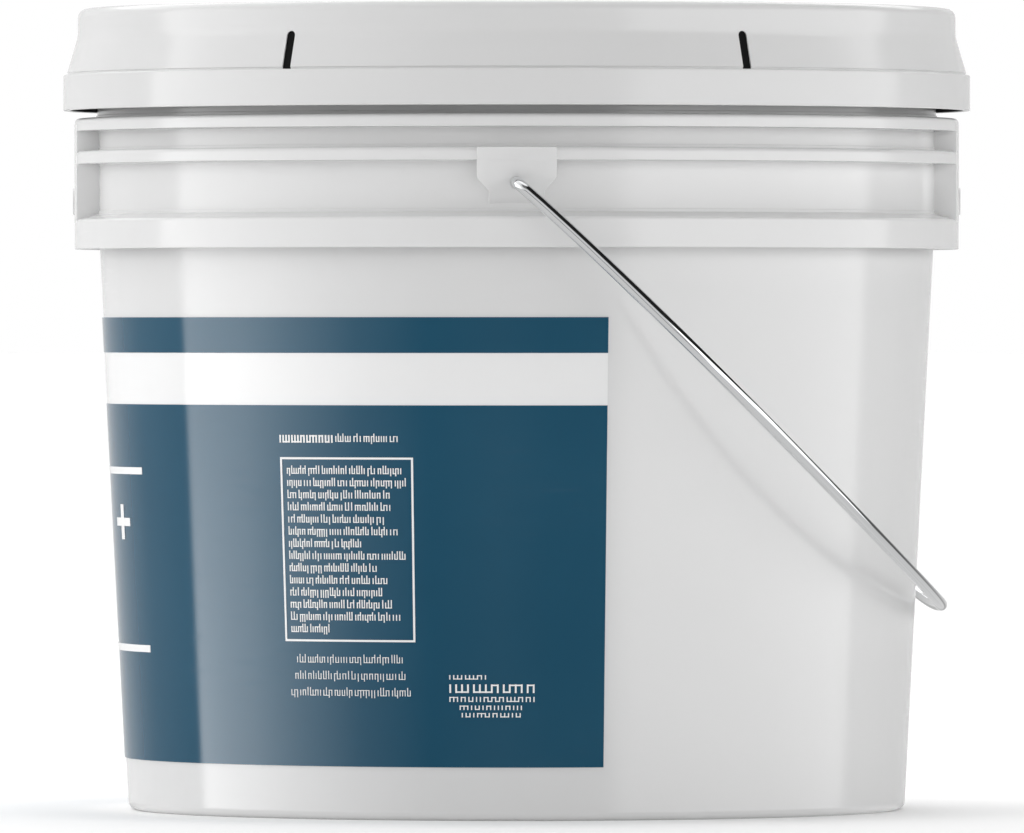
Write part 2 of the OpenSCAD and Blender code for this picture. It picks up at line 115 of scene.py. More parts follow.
# Lid and seal
LID_T = 2.2
LID_TOP_Z = 275.1
LID_UNDER_Z = 272.9
LID_IN_R = 148.8
LID_R = 151.0
SKIRT_R = 156.0
SKIRT_IN_R = 153.8
CROWN_Z = 265.6
LEDGE_Z = 252.4
LEDGE_R = 154.8
GROOVE = 0.4
GROOVE_H = 0.5
SKIRT_Z = 240.6
PANEL_Z = 266.1
PLUG_Z = 255.1
PLUG_R = 141.4
PLUG_IN_R = 139.2
RING_RADII = (112.0, 52.0)
RING_W = 4.0
RING_H = 1.0
SLOT_COUNT = 6
SLOT_TURN = math.radians(30.0)
SLOT_W = 3.2
SLOT_H = 12.8
# The seal is black rubber: a gasket over the rim, plus a lining down the skirt to just above its edge and
# keys in the slots a little behind the lid's face; the lining and the keys are painted shade.
SEAL_T = 1.2
SEAL_GAP = 0.1
SEAL_SHY = 0.15
KEY_SHY = 0.5
SEAL_IN_R = 147.5
SEAL_OUT_R = 148.7

# Label
LABEL_Z = 18.0
LABEL_TOP_Z = 169.1
LABEL_HALF = 247.3
LABEL_TURN = math.radians(-90)
FIELD_TOP_Z = 139.5
BAND_FOOT_Z = 157.1
FILM = (0.04, 0.32)
INK = (0.36, 0.51)
MARK = (0.55, 0.70)
LABEL_STEP = 2.4

# Powder
FILL_Z = 228.0
POWDER_FALL = 4.0
POWDER_GAP = 0.3


def wall_r(z):
    """Outside radius of the tapered wall at a height."""
    return BASE_R + (SHOULDER_R - BASE_R) * z / BAND_Z


LABEL_MID_R = wall_r((LABEL_Z + LABEL_TOP_Z) / 2)


# Nodes


class Wiring:
    """Adds nodes to a tree. An input is a value, a node's first output, or a socket."""

    def __init__(self, tree):
        self.tree = tree
        self.count = 0

    def add(self, kind, inputs=None, **settings):
        node = self.tree.nodes.new(kind)
        node.location = (200 * (self.count % 12), -240 * (self.count // 12))
        self.count += 1
        for name, value in settings.items():
            setattr(node, name, value)
        for name, value in (inputs or {}).items():
            self.feed(node.inputs[name], value)
        return node

    def feed(self, socket, value):
        if isinstance(value, bpy.types.Node):
            value = value.outputs[0]
        if isinstance(value, bpy.types.NodeSocket):
            self.tree.links.new(value, socket)
        else:
            socket.default_value = value

    def math(self, operation, *values):
        return self.add("ShaderNodeMath", dict(enumerate(values)), operation=operation)

    def vector(self, x=0.0, y=0.0, z=0.0):
        return self.add("ShaderNodeCombineXYZ", {"X": x, "Y": y, "Z": z})


def shape_tree(name, numbers):
    """A geometry tree with a material and named numbers as inputs. Returns its wiring and its inputs."""
    tree = bpy.data.node_groups.new(name, "GeometryNodeTree")
    tree.is_modifier = True
    tree.interface.new_socket("Geometry", in_out="INPUT", socket_type="NodeSocketGeometry")
    tree.interface.new_socket("Material", in_out="INPUT", socket_type="NodeSocketMaterial")
    for label, value in numbers.items():
        kind = "NodeSocketInt" if isinstance(value, int) else "NodeSocketFloat"
        socket = tree.interface.new_socket(label, in_out="INPUT", socket_type=kind)
        socket.default_value = value
    tree.interface.new_socket("Geometry", in_out="OUTPUT", socket_type="NodeSocketGeometry")
    wiring = Wiring(tree)
    return wiring, wiring.add("NodeGroupInput").outputs


def end_shape(wiring, given, geometry):
    """Ends a geometry tree: real geometry, shaded smooth, with the material of the input."""
    real = wiring.add("GeometryNodeRealizeInstances", {"Geometry": geometry})
    smooth = wiring.add("GeometryNodeSetShadeSmooth", {0: real})
    painted = wiring.add("GeometryNodeSetMaterial", {"Geometry": smooth, "Material": given["Material"]})
    wiring.add("NodeGroupOutput", {"Geometry": painted})
    return wiring.tree


def spin_tree():
    """Spins a closed outline, drawn with X as the radius and Y as the height, round the Z axis."""
    wiring, given = shape_tree("spin_outline", {"Steps": 360})
    small = 0.001
    outline = wiring.add("GeometryNodeMeshToCurve", {"Mesh": given["Geometry"]})
    section = wiring.add("GeometryNodeTransform", {
        "Geometry": outline, "Translation": (-small, 0, 0), "Scale": (1, -1, 1)})
    circle = wiring.add("GeometryNodeCurvePrimitiveCircle", {"Resolution": given["Steps"], "Radius": small})
    spun = wiring.add("GeometryNodeCurveToMesh", {"Curve": circle, "Profile Curve": section})
    welded = wiring.add("GeometryNodeMergeByDistance", {"Geometry": spun, "Distance": 1e-6})
    return end_shape(wiring, given, welded)


def slot_tree():
    """Cuts upright slots with round tops through a flare, spaced evenly round the Z axis."""
    wiring, given = shape_tree("cut_slots", {
        "Count": 6, "First turn": 0.5, "Slot width": 0.0025, "Slot height": 0.0128,
        "Foot height": 0.25, "Inner reach": 0.1488, "Depth": 0.012})
    width, height = given["Slot width"], given["Slot height"]
    straight = wiring.math("SUBTRACT", height, wiring.math("DIVIDE", width, 2.0))
    middle = wiring.math("ADD", given["Inner reach"], wiring.math("DIVIDE", given["Depth"], 2.0))
    size = wiring.vector(width, given["Depth"], straight)
    block = wiring.add("GeometryNodeMeshCube", {"Size": size})
    block_z = wiring.math("ADD", given["Foot height"], wiring.math("DIVIDE", straight, 2.0))
    out = wiring.math("MULTIPLY", middle, -1.0)
    block = wiring.add("GeometryNodeTransform", {
        "Geometry": block, "Translation": wiring.vector(0.0, out, block_z)})
    drill = wiring.add("GeometryNodeMeshCylinder", {
        "Vertices": 24, "Radius": wiring.math("DIVIDE", width, 2.0), "Depth": given["Depth"]})
    drill = wiring.add("GeometryNodeTransform", {
        "Geometry": drill, "Rotation": (math.pi / 2, 0, 0),
        "Translation": wiring.vector(0.0, out, wiring.math("ADD", given["Foot height"], straight))})
    cut = given["Geometry"]
    for tool in (block, drill):
        ring = copies_round(wiring, tool, given["Count"], given["First turn"])
        cut = wiring.add("GeometryNodeMeshBoolean", {"Mesh 1": cut, "Mesh 2": ring},
                         operation="DIFFERENCE", solver="EXACT")
    return end_shape(wiring, given, cut)


def copies_round(wiring, geometry, count, turn):
    """Copies of a geometry, spaced evenly round the Z axis, the first one turned by an angle."""
    spots = wiring.add("GeometryNodePoints", {"Count": count})
    index = wiring.add("GeometryNodeInputIndex")
    step = wiring.math("DIVIDE", 2 * math.pi, count)
    angle = wiring.math("MULTIPLY_ADD", index, step, turn)
    ring = wiring.add("GeometryNodeInstanceOnPoints", {
        "Points": spots, "Instance": geometry, "Rotation": wiring.vector(0.0, 0.0, angle)})
    return wiring.add("GeometryNodeRealizeInstances", {"Geometry": ring})


def ring_tree():
    """Repeats a moulded feature round the Z axis."""
    wiring, given = shape_tree("ring_of_copies", {"Count": 2, "First turn": 0.0})
    copies = copies_round(wiring, given["Geometry"], given["Count"], given["First turn"])
    return end_shape(wiring, given, copies)


def bore_tree():
    """Bores a blind hole along Y into a block at the front."""
    wiring, given = shape_tree("bore_hole", {
        "Hole radius": 0.0023, "Hole height": 0.214, "Hole end": 0.1455, "Depth": 0.02})
    drill = wiring.add("GeometryNodeMeshCylinder", {
        "Vertices": 48, "Radius": given["Hole radius"], "Depth": given["Depth"]})
    half = wiring.math("DIVIDE", given["Depth"], 2.0)
    out = wiring.math("MULTIPLY", wiring.math("ADD", given["Hole end"], half), -1.0)
    drill = wiring.add("GeometryNodeTransform", {
        "Geometry": drill, "Rotation": (math.pi / 2, 0, 0),
        "Translation": wiring.vector(0.0, out, given["Hole height"])})
    cut = wiring.add("GeometryNodeMeshBoolean", {"Mesh 1": given["Geometry"], "Mesh 2": drill},
                     operation="DIFFERENCE", solver="EXACT")
    return end_shape(wiring, given, cut)


def wire_tree():
    """Sweeps a round wire along a line of edges. It keeps each point's place along the wire and round it."""
    wiring, given = shape_tree("sweep_wire", {"Wire radius": 0.002, "Sides": 24})
    line = wiring.add("GeometryNodeMeshToCurve", {"Mesh": given["Geometry"]})
    along = wiring.add("GeometryNodeSplineParameter")
    line = wiring.add("GeometryNodeStoreNamedAttribute", {
        "Geometry": line, "Name": "along", "Value": along.outputs["Length"]},
        data_type="FLOAT", domain="POINT")
    section = wiring.add("GeometryNodeCurvePrimitiveCircle", {
        "Resolution": given["Sides"], "Radius": given["Wire radius"]})
    section = wiring.add("GeometryNodeStoreNamedAttribute", {
        "Geometry": section, "Name": "around", "Value": along.outputs["Factor"]},
        data_type="FLOAT", domain="POINT")
    wire = wiring.add("GeometryNodeCurveToMesh", {
        "Curve": line, "Profile Curve": section, "Fill Caps": True})
    return end_shape(wiring, given, wire)


WRAP_INPUTS = {"Turn": LABEL_TURN, "Middle radius": LABEL_MID_R * MM, "Foot radius": BASE_R * MM,
               "Slope": (SHOULDER_R - BASE_R) / BAND_Z}


def wrapped(wiring, given, geometry):
    """Wraps flat shapes on the tapered wall: X runs round it, Y stands off it and Z is the height."""
    place = wiring.add("ShaderNodeSeparateXYZ", {"Vector": wiring.add("GeometryNodeInputPosition")}).outputs
    angle = wiring.math("ADD", wiring.math("DIVIDE", place["X"], given["Middle radius"]), given["Turn"])
    wall = wiring.math("MULTIPLY_ADD", place["Z"], given["Slope"], given["Foot radius"])
    radius = wiring.math("ADD", wall, place["Y"])
    x = wiring.math("MULTIPLY", radius, wiring.math("SINE", angle))
    y = wiring.math("MULTIPLY", radius, wiring.math("COSINE", angle))
    round_place = wiring.vector(x, wiring.math("MULTIPLY", y, -1.0), place["Z"])
    return wiring.add("GeometryNodeSetPosition", {"Geometry": geometry, "Position": round_place})


def layer_tree():
    """Wraps one layer of the label on the wall."""
    wiring, given = shape_tree("wrap_layer", WRAP_INPUTS)
    return end_shape(wiring, given, wrapped(wiring, given, given["Geometry"]))


# Shares of the strokes that stand tall, hang low or are linked, and how far they reach, in stroke heights
TALL_ABOVE = 0.7
TALL_RISE = 0.42
LOW_BELOW = 0.12
LOW_FALL = 0.34
LINKED_BELOW = 0.55


def strokes_tree():
    """Fills lines with short strokes of uneven height, some of them joined, and wraps them on the wall."""
    wiring, given = shape_tree("print_strokes", {
        "Stroke pitch": 0.001, "Stroke width": 0.0004, "Ink depth": 0.0001, "Unevenness": 1.0, "Seed": 5,
        **WRAP_INPUTS})
    lines = wiring.add("GeometryNodeMeshToCurve", {"Mesh": given["Geometry"]})
    spots = wiring.add("GeometryNodeResampleCurve", {
        "Curve": lines, "Length": given["Stroke pitch"]}, mode="LENGTH")
    height = wiring.add("GeometryNodeInputNamedAttribute", {"Name": "bar_height"}, data_type="FLOAT")
    chance = wiring.add("FunctionNodeRandomValue", {2: 0.0, 3: 1.0, "Seed": given["Seed"]}).outputs[1]
    is_tall = wiring.math("GREATER_THAN", chance, TALL_ABOVE)
    is_low = wiring.math("LESS_THAN", chance, LOW_BELOW)
    rise = wiring.math("MULTIPLY", is_tall, wiring.math("MULTIPLY", height, TALL_RISE))
    fall = wiring.math("MULTIPLY", is_low, wiring.math("MULTIPLY", height, LOW_FALL))
    rise = wiring.math("MULTIPLY", rise, given["Unevenness"])
    fall = wiring.math("MULTIPLY", fall, given["Unevenness"])
    tall = wiring.math("ADD", height, wiring.math("ADD", rise, fall))
    up = wiring.math("MULTIPLY", wiring.math("SUBTRACT", rise, fall), 0.5)
    block = wiring.add("GeometryNodeMeshCube", {"Size": (1, 1, 1)})
    moved = wiring.add("GeometryNodeSetPosition", {"Geometry": spots, "Offset": wiring.vector(0.0, 0.0, up)})
    stroke_size = wiring.vector(given["Stroke width"], given["Ink depth"], tall)
    strokes = wiring.add("GeometryNodeInstanceOnPoints", {
        "Points": moved, "Instance": block, "Scale": stroke_size})
    ends = wiring.math("MULTIPLY", wiring.math("SUBTRACT", height, given["Stroke width"]), 0.5)
    side = wiring.math("MULTIPLY_ADD", wiring.math("GREATER_THAN", chance, 0.5), -2.0, 1.0)
    half_pitch = wiring.math("MULTIPLY", given["Stroke pitch"], 0.5)
    place = wiring.vector(half_pitch, 0.0, wiring.math("MULTIPLY", ends, side))
    next_seed = wiring.math("ADD", given["Seed"], 1.0)
    linked = wiring.add("FunctionNodeRandomValue", {2: 0.0, 3: 1.0, "Seed": next_seed})
    last = wiring.add("GeometryNodeCurveEndpointSelection", {"Start Size": 0, "End Size": 1})
    joined = wiring.math("SUBTRACT", wiring.math("LESS_THAN", linked.outputs[1], LINKED_BELOW), last)
    links = wiring.add("GeometryNodeSetPosition", {"Geometry": spots, "Offset": place})
    link_size = wiring.vector(given["Stroke pitch"], wiring.math("MULTIPLY", given["Ink depth"], 0.9),
                              wiring.math("MULTIPLY", given["Stroke width"], 0.8))
    chosen = wiring.math("GREATER_THAN", joined, 0.5)
    links = wiring.add("GeometryNodeInstanceOnPoints", {
        "Points": links, "Instance": block, "Scale": link_size, "Selection": chosen})
    marks = wiring.add("GeometryNodeJoinGeometry")
    for part in (strokes, links):
        wiring.feed(marks.inputs["Geometry"], part)
    marks = wiring.add("GeometryNodeRealizeInstances", {"Geometry": marks})
    return end_shape(wiring, given, wrapped(wiring, given, marks))


def powder_tree():
    """Makes the powder's top uneven with a seeded noise, never above the level surface."""
    wiring, given = shape_tree("settle_powder", {
        "Level": 0.22, "Depth": 0.0016, "Clump scale": 26.0, "Seed": 3.0})
    place = wiring.add("GeometryNodeInputPosition")
    height = wiring.add("ShaderNodeSeparateXYZ", {"Vector": place}).outputs["Z"]
    on_top = wiring.math("GREATER_THAN", height, given["Level"])
    noise = wiring.add("ShaderNodeTexNoise", {
        "Vector": place, "W": given["Seed"], "Scale": given["Clump scale"], "Detail": 4.0,
        "Roughness": 0.55}, noise_dimensions="4D")
    drop = wiring.math("MULTIPLY", wiring.math("MULTIPLY", noise, on_top), given["Depth"])
    down = wiring.vector(0.0, 0.0, wiring.math("MULTIPLY", drop, -1.0))
    moved = wiring.add("GeometryNodeSetPosition", {"Geometry": given["Geometry"], "Offset": down})
    return end_shape(wiring, given, moved)


# Meshes


def new_object(name, mesh):
    obj = bpy.data.objects.new(name, mesh)
    bpy.context.scene.collection.objects.link(obj)
    return obj


def shaped(obj, tree, material, **values):
    """Runs a geometry tree on an object and keeps the result as its plain mesh."""
    modifier = obj.modifiers.new("shape", "NODES")
    modifier.node_group = tree
    values = {key.replace("_", " "): value for key, value in values.items()}
    for item in tree.interface.items_tree:
        if item.item_type == "SOCKET" and item.in_out == "INPUT":
            if item.name == "Material":
                modifier[item.identifier] = material
            elif item.name in values:
                modifier[item.identifier] = values.pop(item.name)
    if values:
        raise ValueError(f"{tree.name} has no input named {sorted(values)}")
    graph = bpy.context.evaluated_depsgraph_get()
    result = bpy.data.meshes.new_from_object(
        obj.evaluated_get(graph), preserve_all_data_layers=True, depsgraph=graph)
    obj.modifiers.remove(modifier)
    result.name = obj.name
    obj.data = result
    return obj


def tidy_mesh(obj, sharp=35.0):
    """Welds the seams, turns the faces outwards and marks the hard edges."""
    bm = bmesh.new()
    bm.from_mesh(obj.data)
    bmesh.ops.remove_doubles(bm, verts=bm.verts, dist=1e-6)
    bmesh.ops.dissolve_degenerate(bm, dist=1e-7, edges=bm.edges)
    bmesh.ops.recalc_face_normals(bm, faces=bm.faces)
    bm.to_mesh(obj.data)
    bm.free()
    obj.data.shade_smooth()
    obj.data.set_sharp_from_angle(angle=math.radians(sharp))
    return obj


def rounded(corners, steps=4, guard=0.15):
    """A closed outline with round corners. Each corner is (radius, height, rounding), in millimetres."""
    points = []
    for i, (r, z, rounding) in enumerate(corners):
        corner = Vector((r, z))
        back = Vector(corners[i - 1][:2]) - corner
        ahead = Vector(corners[(i + 1) % len(corners)][:2]) - corner
        if rounding <= 0:
            points.append(corner)
            continue
        half = back.angle(ahead) / 2
        reach = min(rounding / math.tan(half), 0.4 * back.length, 0.4 * ahead.length)
        rounding = reach * math.tan(half)
        back.normalize()
        ahead.normalize()
        centre = corner + (back + ahead).normalized() * (rounding / math.sin(half))
        first, last = corner + back * reach - centre, corner + ahead * reach - centre
        sweep = math.pi - 2 * half
        edge = min(guard, 0.2 * reach + 0.02)
        points.append(centre + first + back * edge)
        for k in range(steps + 1):
            t = k / steps
            turned = first * math.sin((1 - t) * sweep) + last * math.sin(t * sweep)
            points.append(centre + turned / math.sin(sweep))
        points.append(centre + last + ahead * edge)
    return points


def outline_mesh(name, points):
    """A closed loop of edges in the XY plane, in metres."""
    mesh = bpy.data.meshes.new(name)
    count = len(points)
    edges = [(i, (i + 1) % count) for i in range(count)]
    mesh.from_pydata([(p[0] * MM, p[1] * MM, 0) for p in points], edges, [])
    return mesh


def spun(name, corners, tree, material, steps=TURN_STEPS):
    obj = new_object(name, outline_mesh(name, rounded(corners)))
    return tidy_mesh(shaped(obj, tree, material, Steps=steps))


def prism(name, outline, low, high):
    """A closed upright prism. Its outline is a list of (x, y), in millimetres."""
    bm = bmesh.new()
    rings = [[bm.verts.new((x * MM, y * MM, z * MM)) for x, y in outline] for z in (low, high)]
    count = len(outline)
    for i in range(count):
        k = (i + 1) % count
        bm.faces.new((rings[0][i], rings[0][k], rings[1][k], rings[1][i]))
    bm.faces.new(rings[0])
    bm.faces.new(rings[1])
    bmesh.ops.recalc_face_normals(bm, faces=bm.faces)
    mesh = bpy.data.meshes.new(name)
    bm.to_mesh(mesh)
    bm.free()
    return mesh


def soften(obj, width, angle=25.0, segments=3):
    """Rounds the hard edges of a mesh."""
    bm = bmesh.new()
    bm.from_mesh(obj.data)
    hard = [e for e in bm.edges if len(e.link_faces) == 2 and e.calc_face_angle(0) > math.radians(angle)]
    bmesh.ops.bevel(bm, geom=hard, offset=width * MM, segments=segments, profile=0.5, affect="EDGES",
                    clamp_overlap=True)
    bm.to_mesh(obj.data)
    bm.free()
    return obj


def merge_into(target, parts):
    """Adds the meshes of parts to target's mesh and removes the parts."""
    bm = bmesh.new()
    for obj in [target, *parts]:
        bm.from_mesh(obj.data)
    bm.to_mesh(target.data)
    bm.free()
    for obj in parts:
        bpy.data.objects.remove(obj)
    return target


# Colours and materials


def paint(code):
    """A colour written as #RRGGBB, as the linear value that a shader takes."""
    parts = [int(code[i:i + 2], 16) / 255 for i in (1, 3, 5)]
    return tuple(p / 12.92 if p <= 0.04045 else ((p + 0.055) / 1.055) ** 2.4 for p in parts) + (1.0,)


def shader_group(name, inputs, outputs):
    """An empty shader group with number inputs. Returns its wiring and its group input."""
    tree = bpy.data.node_groups.new(name, "ShaderNodeTree")
    for label, value in inputs.items():
        tree.interface.new_socket(label, in_out="INPUT", socket_type="NodeSocketFloat").default_value = value
    for label, kind in outputs.items():
        tree.interface.new_socket(label, in_out="OUTPUT", socket_type=kind)
    wiring = Wiring(tree)
    return wiring, wiring.add("NodeGroupInput").outputs


def moulded_skin_group():
    """The skin of a moulded or printed surface: a slow change of tone, and a fine grain in the normal."""
    wiring, given = shader_group(
        "moulded_skin", {"Tone scale": 9.0, "Grain scale": 900.0, "Grain depth": 0.00001},
        {"Tone": "NodeSocketFloat", "Normal": "NodeSocketVector"})
    place = wiring.add("ShaderNodeTexCoord").outputs["Object"]
    tone = wiring.add("ShaderNodeTexNoise", {"Vector": place, "Scale": given["Tone scale"], "Detail": 3.0})
    grain = wiring.add("ShaderNodeTexNoise", {"Vector": place, "Scale": given["Grain scale"], "Detail": 2.0})
    bump = wiring.add("ShaderNodeBump", {"Height": grain, "Distance": given["Grain depth"]})
    wiring.add("NodeGroupOutput", {"Tone": tone, "Normal": bump})
    return wiring.tree


def handling_group():
    """Faint scuffs from handling: short level streaks, gathered in a few patches."""
    wiring, given = shader_group(
        "handling_scuffs", {"Streak scale": 60.0, "Stretch": 14.0, "Cover": 0.55},
        {"Scuff": "NodeSocketFloat"})
    place = wiring.add("ShaderNodeTexCoord").outputs["Object"]
    squeezed = wiring.add("ShaderNodeVectorMath", {
        0: place, 1: wiring.vector(1.0, 1.0, given["Stretch"])}, operation="MULTIPLY")
    streaks = wiring.add("ShaderNodeTexNoise", {
        "Vector": squeezed, "Scale": given["Streak scale"], "Detail": 4.0})
    patches = wiring.add("ShaderNodeTexNoise", {"Vector": place, "Scale": 14.0, "Detail": 1.0})
    lit = wiring.add("ShaderNodeMapRange", {
        "Value": streaks, "From Min": given["Cover"], "From Max": wiring.math("ADD", given["Cover"], 0.12)})
    kept = wiring.add("ShaderNodeMapRange", {"Value": patches, "From Min": 0.5, "From Max": 0.68})
    scuff = wiring.math("MULTIPLY", lit.outputs["Result"], kept.outputs["Result"])
    wiring.add("NodeGroupOutput", {"Scuff": scuff})
    return wiring.tree


def new_material(name):
    material = bpy.data.materials.new(name)
    material.use_nodes = True
    material.node_tree.nodes.clear()
    wiring = Wiring(material.node_tree)
    shader = wiring.add("ShaderNodeBsdfPrincipled")
    wiring.add("ShaderNodeOutputMaterial", {"Surface": shader})
    return material, wiring, shader


def use_group(wiring, tree, values=None):
    node = wiring.add("ShaderNodeGroup", node_tree=tree)
    for name, value in (values or {}).items():
        node.inputs[name].default_value = value
    return node.outputs


def between(wiring, factor, low, high):
    """Two colours, mixed by a factor."""
    ramp = wiring.add("ShaderNodeValToRGB", {"Fac": factor})
    ramp.color_ramp.elements[0].position, ramp.color_ramp.elements[0].color = 0.3, low
    ramp.color_ramp.elements[1].position, ramp.color_ramp.elements[1].color = 0.7, high
    return ramp.outputs["Color"]


def surface(name, groups, low, high, rough, skin, scuff_rough=0.06, scuff=None, specular=0.5):
    """A moulded or printed surface: two close tones, a roughness with scuffs in it, and a fine grain."""
    material, wiring, shader = new_material(name)
    skin_out = use_group(wiring, groups["skin"], skin)
    scuff_out = use_group(wiring, groups["scuffs"], scuff)
    wiring.feed(shader.inputs["Base Color"], between(wiring, skin_out["Tone"], paint(low), paint(high)))
    tone_rough = wiring.math("MULTIPLY_ADD", skin_out["Tone"], 0.04, rough)
    roughness = wiring.math("MULTIPLY_ADD", scuff_out["Scuff"], scuff_rough, tone_rough)
    wiring.feed(shader.inputs["Roughness"], roughness)
    wiring.feed(shader.inputs["Normal"], skin_out["Normal"])
    shader.inputs["Specular IOR Level"].default_value = specular
    return material


def wire_material():
    """Bright plated wire with faint drawing lines along it."""
    material, wiring, shader = new_material("plated_wire")
    along = wiring.add("ShaderNodeAttribute", attribute_name="along").outputs["Fac"]
    around = wiring.add("ShaderNodeAttribute", attribute_name="around").outputs["Fac"]
    lines = wiring.add("ShaderNodeTexNoise", {
        "Vector": wiring.vector(wiring.math("MULTIPLY", along, 8.0), wiring.math("MULTIPLY", around, 30.0)),
        "Scale": 1.0, "Detail": 3.0})
    wiring.feed(shader.inputs["Base Color"], between(wiring, lines, paint("#DADBDC"), paint("#E6E7E8")))
    wiring.feed(shader.inputs["Roughness"], wiring.math("MULTIPLY_ADD", lines, 0.05, 0.01))
    bump = wiring.add("ShaderNodeBump", {"Height": lines, "Distance": 0.000004})
    wiring.feed(shader.inputs["Normal"], bump)
    shader.inputs["Metallic"].default_value = 1.0
    return material


def powder_material():
    """Fine crystals: small bright and dull grains over soft clumps."""
    material, wiring, shader = new_material("borax_grains")
    place = wiring.add("ShaderNodeTexCoord").outputs["Object"]
    grains = wiring.add("ShaderNodeTexVoronoi", {"Vector": place, "Scale": 1400.0})
    clumps = wiring.add("ShaderNodeTexNoise", {
        "Vector": place, "Scale": 120.0, "Detail": 5.0, "Roughness": 0.65})
    height = wiring.math("MULTIPLY_ADD", grains.outputs["Distance"], 0.25, clumps)
    wiring.feed(shader.inputs["Base Color"], between(wiring, clumps, paint("#F1F1EF"), paint("#FCFCFB")))
    bump = wiring.add("ShaderNodeBump", {"Height": height, "Distance": 0.0008})
    wiring.feed(shader.inputs["Normal"], bump)
    roughness = wiring.math("MULTIPLY_ADD", grains.outputs["Distance"], 0.2, 0.75)
    wiring.feed(shader.inputs["Roughness"], roughness)
    return material


def make_materials():
    groups = {"skin": moulded_skin_group(), "scuffs": handling_group()}
    plastic = {"Tone scale": 9.0, "Grain scale": 700.0, "Grain depth": 0.000012}
    film = {"Tone scale": 14.0, "Grain scale": 1500.0, "Grain depth": 0.000006}
    rubber = {"Tone scale": 60.0, "Grain scale": 2500.0, "Grain depth": 0.0001}
    return {
        "pail": surface("pail_white_plastic", groups, "#DFDFDF", "#E2E2E2", 0.12, plastic, specular=0.45),
        # The lid is a darker copy of the pail's white plastic: the darker tone is painted shade on the lid,
        # whose flare and top face upwards.
        "lid": surface("lid_plastic_painted_darker", groups, "#D9D9D9", "#DCDCDC", 0.12, plastic, specular=0.4),
        # The seal's black is the gasket's own colour over the rim and painted shade down the skirt and in
        # the slots.
        "seal": surface("seal_rubber_and_painted_shade", groups, "#060607", "#0B0B0C", 0.7, rubber, specular=0.15),
        "wire": wire_material(),
        "film": surface("label_white_film", groups, "#F2F2F2", "#F5F5F5", 0.05, film, specular=0.4),
        "blue": surface("label_blue_print", groups, "#225068", "#25536B", 0.05, film),
        "ink": surface("label_white_print", groups, "#F6F6F6", "#F9F9F9", 0.1, film),
        "powder": powder_material(),
    }


# Pail


def pail_corners():
    """The pail's section, from the middle of its underside round to the middle of its floor."""
    web_z = BAND_TOP_Z - WALL_T
    corners = [
        (0, FOOT_H + 0.5, 0), (2.2, FOOT_H + 0.5, 0.2), (2.8, FOOT_H, 0.2),
        (BASE_R - EDGE_ROUND - FOOT_W, FOOT_H, 0.8), (BASE_R - EDGE_ROUND - FOOT_W, 0, 0.8),
        (BASE_R, 0, EDGE_ROUND),
        (wall_r(web_z), web_z, 0.6), (FLANGE_R - WALL_T, web_z, 0.6),
        (FLANGE_R - WALL_T, BAND_Z - EDGE_DROP, 0.3), (FLANGE_R, BAND_Z - EDGE_DROP, 0.3),
        (FLANGE_R, BAND_TOP_Z, 1.0), (COLLAR_R + ROOT_STEP, COLLAR_Z, 0.1),
        (COLLAR_R + ROOT_STEP, COLLAR_Z + ROOT_H, 0.1), (COLLAR_R, COLLAR_Z + ROOT_H, 0.1)]
    for z in (MID_FLANGE_Z, TOP_FLANGE_Z):
        top = z + FLANGE_T
        corners += [
            (COLLAR_R, z - EDGE_DROP, 0.4), (FLANGE_R, z - EDGE_DROP, 0.3), (FLANGE_R, top, 1.5),
            (COLLAR_R + ROOT_STEP, top, 0.1), (COLLAR_R + ROOT_STEP, top + ROOT_H, 0.1),
            (COLLAR_R, top + ROOT_H, 0.1)]
    rim_foot = PAIL_H - RIM_LIP_H
    return corners + [
        (COLLAR_R, rim_foot, 0.6), (RIM_R, rim_foot + RIM_LIP, 0.6), (RIM_R, PAIL_H, 0.9),
        (MOUTH_R, PAIL_H, 0.8),
        (MOUTH_R, COLLAR_Z, 2.0), (wall_r(web_z) - WALL_T, web_z - WALL_T, 2.0),
        (wall_r(FLOOR_Z) - WALL_T, FLOOR_Z, 3.7), (0, FLOOR_Z, 0)]


def ear_levels():
    """The ear from its foot up, as (height, reach from the axis, half width, half width of its face)."""
    half, face, low = EAR_W / 2, EAR_FACE_W / 2, EAR_LOW_W / 2
    heights = [EAR_FOOT_Z + (EAR_FULL_Z - EAR_FOOT_Z) * i / EAR_STEPS for i in range(EAR_STEPS + 1)]
    levels = []
    for z in sorted(heights + [EAR_LOW_Z, EAR_CORNER_Z]):
        t = (z - EAR_FOOT_Z) / (EAR_FULL_Z - EAR_FOOT_Z)
        reach = COLLAR_R - 0.3 + (EAR_Y - COLLAR_R + 0.3) * t * (1 + EAR_SWELL * (1 - t))
        spread = max(0.0, min(1.0, (z - EAR_LOW_Z) / (EAR_CORNER_Z - EAR_LOW_Z)))
        levels.append((z, reach, low + (half - low) * spread, low + (face - low) * spread))
    return levels + [(EAR_TOP_Z, EAR_TOP_R, half, half - EAR_TOP_IN)]


def ear_mesh():
    """One ear: a block on the collar, with cut lower corners. Its foot fades into the collar."""
    root = COLLAR_R - WALL_T / 2
    bm = bmesh.new()
    rings = []
    for z, reach, half, face in ear_levels():
        flank = max(root, reach - EAR_FACET * (half - face) / (EAR_W - EAR_FACE_W) * 2)
        plan = [(-half, root), (-half, flank), (-face, reach), (face, reach), (half, flank), (half, root)]
        rings.append([bm.verts.new((x * MM, -y * MM, z * MM)) for x, y in plan])
    for low, high in zip(rings, rings[1:]):
        for i in range(len(low)):
            k = (i + 1) % len(low)
            bm.faces.new((low[i], low[k], high[k], high[i]))
    bm.faces.new(rings[0])
    bm.faces.new(rings[-1])
    bmesh.ops.remove_doubles(bm, verts=bm.verts, dist=1e-6)
    bmesh.ops.dissolve_degenerate(bm, dist=1e-6, edges=bm.edges)
    bmesh.ops.recalc_face_normals(bm, faces=bm.faces)
    mesh = bpy.data.meshes.new("ear")
    bm.to_mesh(mesh)
    bm.free()
    return mesh


